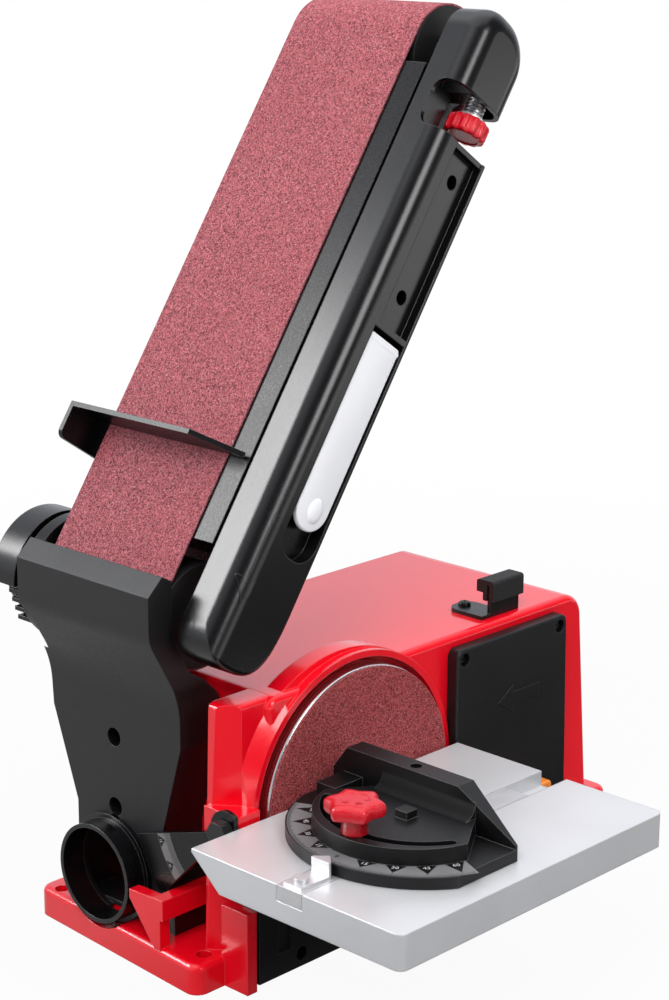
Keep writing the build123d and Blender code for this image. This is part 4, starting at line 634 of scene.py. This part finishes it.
# Operators
class SANDER_OT_stage(bpy.types.Operator):
    """Camera, lamps, room and floor"""
    bl_idname = "sander.stage"
    bl_label = "Stage"

    def execute(self, context):
        colours, _, light = settings()
        self.camera(light)
        self.lamp("lamp_overhead", (0.1, 0.1, 2.3), (0.0, 0.0, 0.2), 2.6, light.overhead)
        self.lamp("lamp_front", (-1.45, -0.75, 1.95), (0.0, 0.0, 0.25), 1.3, light.front, shine=False)
        self.lamp("lamp_side", (0.6, -1.4, 2.0), (0.0, 0.0, 0.2), 1.3, light.side, shine=False)
        self.lamp("lamp_back", (-1.2, 1.15, 1.15), (0.0, 0.0, 0.35), 0.8, light.back, glow=False)
        self.lamp("lamp_low", (-0.25, -2.1, 1.3), (0.0, 0.0, 0.4), 0.9, light.low, glow=False)
        self.room(light.ambient)
        self.floor(colours.floor_pale)
        bpy.context.scene.view_settings.view_transform = "Standard"
        return {"FINISHED"}

    def camera(self, light):
        yaw, pitch, roll = light.turn
        ahead = Vector((math.sin(yaw) * math.cos(pitch), math.cos(yaw) * math.cos(pitch), -math.sin(pitch)))
        right = Vector((math.cos(yaw), -math.sin(yaw), 0.0))
        down = ahead.cross(right)
        tilted_right = right * math.cos(roll) + down * math.sin(roll)
        tilted_down = -right * math.sin(roll) + down * math.cos(roll)
        data = bpy.data.cameras.new("camera")
        data.sensor_fit = "VERTICAL"
        data.sensor_height = 24.0
        data.lens = light.lens
        data.clip_start = 0.05
        eye = bpy.data.objects.new("camera", data)
        eye.matrix_world = Matrix.Translation(light.eye) @ Matrix(
            (tilted_right, -tilted_down, -ahead)).transposed().to_4x4()
        bpy.context.scene.collection.objects.link(eye)
        bpy.context.scene.camera = eye

    def lamp(self, name, at, towards, size, watts, shine=True, glow=True):
        """Square lamp; shine says if gloss mirrors it, and glow if it lights matt colour."""
        data = bpy.data.lights.new(name, "AREA")
        data.size = size
        data.energy = watts
        lamp = bpy.data.objects.new(name, data)
        lamp.location = at
        lamp.rotation_euler = (Vector(towards) - Vector(at)).to_track_quat("-Z", "Y").to_euler()
        lamp.visible_glossy = shine
        lamp.visible_diffuse = glow
        bpy.context.scene.collection.objects.link(lamp)

    def room(self, ambient):
        """White where it is seen, mirrored dim from the front, and soft as a light."""
        world = bpy.data.worlds.new("room")
        world.use_nodes = True
        bpy.context.scene.world = world
        graph = Graph(world.node_tree)
        camera, shiny = ray_kinds(graph)
        ray = graph.add("ShaderNodeTexCoord").outputs["Generated"]
        parts = graph.add("ShaderNodeSeparateXYZ", {"Vector": ray}).outputs
        mirrored = graph.spread(parts["Y"], 0.12, 1.0, -0.55, -0.05)
        soft = graph.spread(parts["Z"], ambient * 0.4, ambient * 1.5, 0.0, 0.8)
        level = graph.math("MULTIPLY_ADD", shiny, graph.math("SUBTRACT", mirrored, soft), soft)
        level = graph.math("MULTIPLY_ADD", camera, graph.math("SUBTRACT", 1.0, level), level)
        sky = world.node_tree.nodes["Background"].inputs
        graph.feed(sky["Color"], graph.mix(shiny, (1.0, 1.0, 1.0), (0.90, 0.92, 1.0)))
        graph.feed(sky["Strength"], level)

    def floor(self, pale):
        """Pale floor with a faint shadow, white from afar and dim where the front mirrors it."""
        mesh = bpy.data.meshes.new("floor")
        size = 6.0
        drop = -0.0003
        corners = [(x * size, y * size, drop) for x, y in ((-1, -1), (1, -1), (1, 1), (-1, 1))]
        mesh.from_pydata(corners, [], [(0, 1, 2, 3)])
        material = bpy.data.materials.new("floor")
        material.use_nodes = True
        tree = material.node_tree
        tree.nodes.remove(tree.nodes["Principled BSDF"])
        graph = Graph(tree)
        camera, shiny = ray_kinds(graph)
        place = graph.add("ShaderNodeNewGeometry").outputs["Position"]
        near = graph.add("ShaderNodeSeparateXYZ", {"Vector": place}).outputs["Y"]
        mirrored = graph.math("MAXIMUM", graph.spread(near, 0.03, 0.65, -0.12, 0.03),
                              graph.spread(near, 2.2, 0.03, -1.20, -0.80))
        level = graph.math("MULTIPLY_ADD", shiny, graph.math("SUBTRACT", mirrored, 1.0), 1.0)
        reach = graph.vector("LENGTH", place)
        seen = graph.math("MULTIPLY", camera, graph.spread(reach, 0.945, 1.0, 0.4, 1.1))
        matt = graph.add("ShaderNodeBsdfDiffuse", {"Color": pale})
        white = graph.add("ShaderNodeEmission", {"Color": (1.0, 1.0, 1.0), "Strength": level})
        blend = graph.add("ShaderNodeMixShader", {0: graph.math("MULTIPLY_ADD", shiny, 0.9, seen),
                                                  1: matt.outputs[0], 2: white.outputs[0]})
        tree.links.new(blend.outputs[0], tree.nodes["Material Output"].inputs["Surface"])
        mesh.materials.append(material)
        floor = bpy.data.objects.new("floor", mesh)
        bpy.context.scene.collection.objects.link(floor)
        floor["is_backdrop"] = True


class SANDER_OT_castings(bpy.types.Operator):
    """Enamelled castings: housing, arm, bracket and carriage"""
    bl_idname = "sander.castings"
    bl_label = "Castings"

    def execute(self, context):
        dress("casting_red", "housing")
        dress("arm_black", "arm_frame", "platen", "drive_bracket", "idler_carriage")
        return {"FINISHED"}


class SANDER_OT_mouldings(bpy.types.Operator):
    """Black mouldings, with the arrows raised on the arm cover and the switch panel"""
    bl_idname = "sander.mouldings"
    bl_label = "Mouldings"

    def execute(self, context):
        sizes = settings()[1]
        dress("cover_black", "arm_cover", "drive_cover", "dust_port")
        dress("hood_black", "dust_hood", "dust_duct", "disc_guard", "switch_panel", "cord_gland")
        self.arm_arrow(sizes.emboss)
        self.panel_arrow(sizes.emboss)
        return {"FINISHED"}

    def arm_arrow(self, rise):
        """Belt direction, raised on the rounded shoulder of the arm cover."""
        shoulder = 12.0 * MM
        top = 31.6 * MM
        sunk = -0.3 * MM

        def place(u, v, h):
            lift = min(max((v - top + shoulder) / shoulder, 0.0), 1.0)
            out = math.sqrt(1.0 - lift * lift)
            y = COVER_FRONT + shoulder - (shoulder + h) * out
            return on_arm(u, y, top - shoulder + (shoulder + h) * lift)

        tip, neck, tail, middle = 10.0, 24.0, 62.0, 23.5
        shaft = self.slices(lambda v: (neck, tail), 21.5, 25.5)
        head = self.slices(lambda v: (tip + abs(v - middle) * 1.9, neck), 16.9, 30.1)
        shape = Shape()
        for outline in (shaft, head):
            rings = []
            for v, low, high in outline:
                rings.append([place(low, v, sunk), place(high, v, sunk),
                              place(high, v, rise), place(low, v, rise)])
            shape.loft(rings)
        shape.piece("arm_arrow", "arm", "cover_black")

    @staticmethod
    def slices(limits, low, high, count=14):
        """Rows across the arrow, each with its height and its two ends along the arm."""
        rows = []
        for k in range(count + 1):
            v = low + (high - low) * k / count
            near, far = limits(v)
            rows.append((v * MM, min(near, far - 0.05) * MM, far * MM))
        return rows

    def panel_arrow(self, rise):
        """Disc direction, raised on the front of the switch panel."""
        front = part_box("switch_panel")[0].y
        place = flat_place(Vector((0.0, front, 0.0)), AXIS_X, AXIS_Z, -AXIS_Y)
        outline = [(92, 111), (92, 119.5), (66, 119.5), (66, 124), (52, 115.2), (66, 106.5), (66, 111)]
        shape = Shape()
        shape.prism([(a * MM, b * MM) for a, b in outline], place, -0.2 * MM, rise)
        shape.piece("panel_arrow", "base", "hood_black")


class SANDER_OT_abrasives(bpy.types.Operator):
    """Abrasive belt and disc paper"""
    bl_idname = "sander.abrasives"
    bl_label = "Abrasives"

    def execute(self, context):
        dress("belt_grit", "sanding_belt")
        dress("disc_grit", "disc_paper")
        return {"FINISHED"}


class SANDER_OT_table(bpy.types.Operator):
    """Disc table, its tilt sector with the printed scale, and the lock knob"""
    bl_idname = "sander.table"
    bl_label = "Disc table"

    def execute(self, context):
        lift = settings()[1].print_lift
        dress("table_light", "disc_table")
        dress("steel_black", "tilt_sector")
        dress("knob_black", "table_knob")
        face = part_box("tilt_sector")[0].x
        axis = joint_at("table_tilt")
        place = flat_place(Vector((face, axis.y, axis.z)), AXIS_Y, AXIS_Z, -AXIS_X)
        inner, outer = 48.3 * MM, 59.0 * MM
        low, high = math.radians(-45.5), math.radians(-17.8)
        ground = Shape()
        add_band(ground, lambda t: inner, lambda t: outer, low, high, place, -0.05 * MM, lift)
        ground.piece("sector_scale", "table", "table_light", "scale_grey")
        marks = Shape()
        figures = Shape()
        for degree in range(0, 28):
            turn = math.radians(-18.2 - degree)
            reach = 4.6 if degree % 5 else 5.6
            add_tick(marks, inner + 0.3 * MM, inner + reach * MM, turn, 0.3 * MM, place, lift)
        for step, centre in enumerate((-22.0, -37.0)):
            turn = math.radians(centre)
            half = math.radians(3.6)
            wedge = [polar(outer - 0.3 * MM, turn - half), polar(outer - 0.3 * MM, turn + half),
                     polar(inner + 5.4 * MM, turn)]
            marks.prism(wedge, place, lift, lift * MARK_TOP)
            add_figure(figures, str(15 * (step + 1)), 2.2 * MM, outer - 1.9 * MM, turn, place, -AXIS_X, lift)
        marks.piece("sector_marks", "table", "gauge_black")
        figures.piece("sector_figures", "table", "table_light", "scale_pale")
        return {"FINISHED"}


class SANDER_OT_gauge(bpy.types.Operator):
    """Mitre gauge with its printed scale"""
    bl_idname = "sander.gauge"
    bl_label = "Mitre gauge"

    def execute(self, context):
        lift = settings()[1].print_lift
        dress("gauge_black", "gauge_head")
        dress("bright_steel", "gauge_bar", "gauge_pointer", "pointer_screw")
        pivot = joint_at("gauge_swivel")
        plate_top = pivot.z + 6.7 * MM
        place = flat_place(Vector((pivot.x, pivot.y, plate_top)), -AXIS_X, -AXIS_Y, AXIS_Z)
        rim = 72.6 * MM
        shift, radius, gap = 7.5, 53.8, 0.4
        size = 4.2 * MM

        def step_edge(turn):
            """Edge of the raised step, whose round sits off the pivot."""
            across, along = shift * math.sin(turn), shift * math.cos(turn)
            return (along + math.sqrt(radius ** 2 - across ** 2) + gap) * MM

        half = math.radians(66.5)
        ground = Shape()
        add_band(ground, step_edge, lambda t: rim, -half, half, place, -0.05 * MM, lift)
        ground.piece("gauge_scale", "gauge", "gauge_black", "scale_grey")
        marks = Shape()
        figures = Shape()
        for degree in range(-65, 66):
            reach = 1.9 if degree % 5 else 2.7
            add_tick(marks, rim - reach * MM, rim - 0.2 * MM, math.radians(degree), 0.36 * MM, place, lift)
        for degree in (-60, -45, -30, -15, 15, 30, 45, 60):
            turn = math.radians(degree)
            spread = math.radians(5.4)
            near = [step_edge(turn - spread) + 0.2 * MM, step_edge(turn + spread) + 0.2 * MM]
            wedge = [polar(near[0], turn - spread), polar(rim - 3.2 * MM, turn),
                     polar(near[1], turn + spread)]
            marks.prism(wedge, place, lift, lift * MARK_TOP)
            reach = step_edge(turn) + 2.9 * MM
            add_figure(figures, str(abs(degree)), size, reach, turn, place, AXIS_Z, lift)
        add_figure(marks, "0", size, step_edge(0.0) + 4.0 * MM, 0.0, place, AXIS_Z, lift)
        marks.piece("gauge_marks", "gauge", "gauge_black")
        figures.piece("gauge_figures", "gauge", "table_light", "scale_pale")
        return {"FINISHED"}


class SANDER_OT_knobs(bpy.types.Operator):
    """Lobed red knobs of the gauge and of the belt tracking"""
    bl_idname = "sander.knobs"
    bl_label = "Knobs"

    def execute(self, context):
        sizes = settings()[1]
        self.gauge_knob(sizes)
        self.tracking_knob(sizes)
        dress("bright_steel", "tracking_washer")
        return {"FINISHED"}

    def gauge_knob(self, sizes):
        low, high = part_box("gauge_knob")
        axis = joint_at("gauge_lock_turn")
        place = flat_place(Vector((axis.x, axis.y, high.z)), AXIS_X, AXIS_Y, AXIS_Z)
        foot = low.z - high.z
        seat = -19.1 * MM
        neck = -9.0 * MM
        # Radius in mm, share of the hollow, height
        profile = [(2.5, 0, foot), (2.5, 0, seat), (7.4, 0, seat), (7.4, 0, seat + 0.5 * MM),
                   (7.0, 0, neck - 1.5 * MM), (7.4, 0, neck - 0.4 * MM), (8.6, 0, neck),
                   (14.6, 0.8, neck), (16.2, 0.95, neck + 0.6 * MM), (17.0, 1, neck + 2.0 * MM),
                   (17.0, 1, neck + 5.4 * MM), (16.5, 1, neck + 6.9 * MM), (15.2, 0.95, neck + 8.1 * MM),
                   (13.4, 0.8, neck + 8.8 * MM), (10.6, 0.45, neck + 9.0 * MM), (8.0, 0.1, neck + 9.0 * MM),
                   (7.4, 0, neck + 8.7 * MM), (4.0, 0, neck + 8.7 * MM)]
        shape = Shape()
        shape.loft(lobed_rings([(r * MM, s, h) for r, s, h in profile], sizes.knob_lobes,
                               sizes.knob_hollow, place, 16, 0.7))
        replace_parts(shape.piece("gauge_star_knob", "gauge_lock", "knob_red"), "gauge_knob")

    def tracking_knob(self, sizes):
        axis = joint_axis("tracking_turn")
        knob_seat = 311.5 * MM
        origin = joint_at("tracking_turn")
        origin = origin - axis * axis.dot(origin - ARM_PIVOT) + axis * knob_seat
        place = flat_place(origin, AXIS_Y, axis.cross(AXIS_Y), axis)
        profile = [(3.5, 0, 0.9), (8.6, 0, 0.7), (9.4, 0.1, 0.0), (11.6, 0.7, 0.2), (12.6, 0.95, 0.9),
                   (13.0, 1, 2.0), (13.0, 1, 8.6), (12.5, 0.95, 9.9), (11.2, 0.6, 10.8), (9.0, 0.1, 11.0)]
        shape = Shape()
        shape.loft(lobed_rings([(r * MM, s, h * MM) for r, s, h in profile], sizes.track_lobes,
                               sizes.track_hollow, place, 10))
        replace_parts(shape.piece("tracking_star_knob", "tracker", "knob_red"), "tracking_knob")
        stud = Shape()
        coil = [(3.0, 10.9), (3.0, 12.6)]
        for k in range(5):
            coil.extend((r, 12.7 + 2.3 * k + h) for r, h in ((5.0, 0.0), (6.0, 0.5), (6.0, 1.3), (5.0, 1.8)))
        coil.extend(((3.0, 24.2), (3.0, 36.4)))
        stud.loft([[place(a * MM, b * MM, h * MM) for a, b in circle(r, 28)] for r, h in coil])
        stud.piece("tracking_stud", "tracker", "shaft_steel")


class SANDER_OT_lever(bpy.types.Operator):
    """Belt tension lever with its barrel and thumb boss"""
    bl_idname = "sander.lever"
    bl_label = "Tension lever"

    def execute(self, context):
        sizes = settings()[1]
        dress("bright_steel", "lever_pin")
        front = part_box("tension_lever")[0].y
        low, high, half, thick = 63.0, 180.5, 13.5, 3.2
        rounding = sizes.lever_round / MM
        shape = Shape()
        rings = []
        for depth, inset in ((thick, 0.4), (thick - 0.4, 0.0), (rounding, 0.0),
                             (rounding * 0.5, rounding * 0.13), (rounding * 0.13, rounding * 0.5),
                             (0.0, rounding)):
            rings.append([on_arm(u * MM, front + depth * MM, v * MM)
                          for u, v in self.outline(low, high, half, inset)])
        shape.loft(rings)
        pin = high - 3.4
        barrel = []
        for v in (-half, half):
            barrel.append([on_arm((pin + a) * MM, front + (3.0 + b) * MM, v * MM)
                           for a, b in circle(3.0, 24)])
        shape.loft(barrel)
        boss = sizes.lever_boss / MM
        centre = (low + 12.5, -2.0)
        dome = []
        for share, rise in ((1.0, -0.3), (0.97, 0.15), (0.85, 0.6), (0.62, 1.05), (0.3, 1.3)):
            dome.append([on_arm((centre[0] + a * 1.25) * MM, front - rise * MM, (centre[1] + b) * MM)
                         for a, b in circle(boss * share, 32)])
        shape.loft(dome)
        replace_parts(shape.piece("tension_lever_grip", "lever", "lever_white", sharp=40.0), "tension_lever")
        return {"FINISHED"}

    @staticmethod
    def outline(low, high, half, inset):
        """Lever seen from the front: square at its pin and round at its free end."""
        reach = half - inset
        corner = 1.5
        points = []
        for side, start in ((-1, -90), (1, 0)):
            for k in range(5):
                turn = math.radians(start + 22.5 * k)
                points.append((high - inset - corner + corner * math.cos(turn),
                               side * (reach - corner) + corner * math.sin(turn)))
        for k in range(25):
            turn = math.radians(90 + 7.5 * k)
            points.append((low + half + reach * math.cos(turn), reach * math.sin(turn)))
        return points


class SANDER_OT_switch(bpy.types.Operator):
    """Switch with its start and stop buttons and their signs"""
    bl_idname = "sander.switch"
    bl_label = "Switch"

    def execute(self, context):
        dress("switch_orange", "switch_body")
        dress("button_green", "start_button")
        dress("button_red", "stop_button")
        for node, body, sign in (("start_button", "start", "I"), ("stop_button", "stop", "O")):
            low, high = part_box(node)
            middle = (low + high) / 2
            place = flat_place(Vector((middle.x, low.y, middle.z)), AXIS_X, AXIS_Z, -AXIS_Y)
            shape = Shape()
            shape.words(sign, 8.0 * MM, place, -0.2 * MM, 0.25 * MM)
            shape.piece(f"{body}_sign", body, "lever_white")
        return {"FINISHED"}


class SANDER_OT_screws(bpy.types.Operator):
    """Pan head screws with a cross recess, on the screws of the frame"""
    bl_idname = "sander.screws"
    bl_label = "Screws"

    def execute(self, context):
        half = settings()[1].screw_slot
        for node, body in (("casing_screws", "base"), ("arm_screws", "arm")):
            shape = Shape()
            for seat, out, tip in self.screws(node):
                self.add_screw(shape, seat, out, tip, half)
            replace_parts(shape.piece(f"{node}_heads", body, "steel_black"), node)
        return {"FINISHED"}

    @staticmethod
    def screws(node):
        """Seat, outward direction and shank length of each screw in a node."""
        work = bmesh.new()
        work.from_mesh(NODES[node].data)
        bmesh.ops.remove_doubles(work, verts=work.verts, dist=1e-6)
        left = set(work.verts)
        found = []
        while left:
            stack = [left.pop()]
            island = []
            while stack:
                vert = stack.pop()
                island.append(vert.co.copy())
                for edge in vert.link_edges:
                    other = edge.other_vert(vert)
                    if other in left:
                        left.remove(other)
                        stack.append(other)
            low = Vector([min(p[i] for p in island) for i in range(3)])
            high = Vector([max(p[i] for p in island) for i in range(3)])
            axis = max(range(3), key=lambda i: high[i] - low[i])
            middle = (low + high) / 2
            wide = []
            for p in island:
                offset = p - middle
                offset[axis] = 0.0
                if offset.length > 3.5 * MM:
                    wide.append(p[axis])
            out = Vector((0, 0, 0))
            outward = 1.0 if sum(wide) / len(wide) > middle[axis] else -1.0
            out[axis] = outward
            seat = middle.copy()
            seat[axis] = min(wide) if outward > 0 else max(wide)
            tip = (seat[axis] - low[axis]) if outward > 0 else (high[axis] - seat[axis])
            found.append((seat, out, tip))
        work.free()
        return sorted(found, key=lambda item: tuple(item[0]))

    @staticmethod
    def add_screw(shape, seat, out, tip, half):
        across = out.orthogonal().normalized()
        place = flat_place(seat, across, out.cross(across), out)
        arm = 1.9 * MM  # from the screw's middle to the end of its cross
        quarter = [(arm, -half), (arm, 0.0), (arm, half), ((arm + half) / 2, half), (half, half),
                   (half, (arm + half) / 2)]
        cross = []
        for k in range(4):
            quarter_turn = Matrix.Rotation(math.pi / 2 * k, 2)
            cross.extend(tuple(quarter_turn @ Vector(p)) for p in quarter)
        turns = [math.atan2(b, a) for a, b in cross]
        rings = []
        for radius, height in ((1.2, -tip / MM), (2.0, -tip / MM + 1.0), (2.0, 0.0), (4.0, 0.0), (4.0, 1.1),
                               (3.75, 1.75), (3.2, 2.25), (2.5, 2.55)):
            rings.append([place(*polar(radius * MM, turn), height * MM) for turn in turns])
        rings.append([place(a, b, 2.58 * MM) for a, b in cross])
        rings.append([place(a * 0.8, b * 0.8, 1.2 * MM) for a, b in cross])
        shape.loft(rings)


class SANDER_OT_metalwork(bpy.types.Operator):
    """Shafts, drums, bearings, pulleys, sheet parts and the arm rest"""
    bl_idname = "sander.metalwork"
    bl_label = "Metalwork"

    def execute(self, context):
        dress("steel_black", "bottom_plate", "work_stop", "arm_rest")
        dress("rubber_black", "rest_pad", "drive_belt", "drive_drum")
        dress("shaft_steel", "guide_rods", "drive_shaft", "idler_axle", "tension_spring",
              "shaft_bearings", "front_bearing", "idler_bearings")
        dress("pulley_black", "drive_pulley", "driven_pulley", "idler_drum")
        return {"FINISHED"}


class SANDER_OT_motor(bpy.types.Operator):
    """Motor and the disc plate on its shaft"""
    bl_idname = "sander.motor"
    bl_label = "Motor"

    def execute(self, context):
        dress("core_steel", "motor_stator", "rotor_core")
        dress("copper", "stator_windings")
        dress("alloy", "motor_front_bell", "motor_rear_bell", "disc_plate")
        dress("shaft_steel", "motor_shaft", "motor_bearings")
        dress("bright_steel", "motor_tie_bolts", "disc_bolt")
        dress("knob_black", "run_capacitor")
        dress("pulley_black", "cooling_fan")
        return {"FINISHED"}


OPERATORS = (
    SANDER_OT_stage, SANDER_OT_castings, SANDER_OT_mouldings, SANDER_OT_abrasives, SANDER_OT_table,
    SANDER_OT_gauge, SANDER_OT_knobs, SANDER_OT_lever, SANDER_OT_switch, SANDER_OT_screws,
    SANDER_OT_metalwork, SANDER_OT_motor,
)


class VIEW3D_PT_sander(bpy.types.Panel):
    """Lists the sander's operators and settings"""
    bl_label = "Sander"
    bl_space_type = "VIEW_3D"
    bl_region_type = "UI"
    bl_category = "Sander"

    def draw(self, context):
        for operator in OPERATORS:
            self.layout.operator(operator.bl_idname)
        for group in settings():
            for name in group.__annotations__:
                self.layout.prop(group, name)


GROUPS = {"sander_colours": SanderColours, "sander_sizes": SanderSizes, "sander_light": SanderLight}
CLASSES = (*GROUPS.values(), *OPERATORS, VIEW3D_PT_sander)


def register():
    for cls in CLASSES:
        bpy.utils.register_class(cls)
    for name, group in GROUPS.items():
        setattr(bpy.types.Scene, name, PointerProperty(type=group))


def unregister():
    for name in GROUPS:
        delattr(bpy.types.Scene, name)
    for cls in reversed(CLASSES):
        bpy.utils.unregister_class(cls)


def main():
    register()
    for operator in OPERATORS:
        getattr(bpy.ops.sander, operator.bl_idname.split(".")[1])()
    boxes = {"cad": CAD_BOX, "visual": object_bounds()}
    {name: [list(corner) for corner in box] for name, box in boxes.items()}


if __name__ == "__main__":
    main()
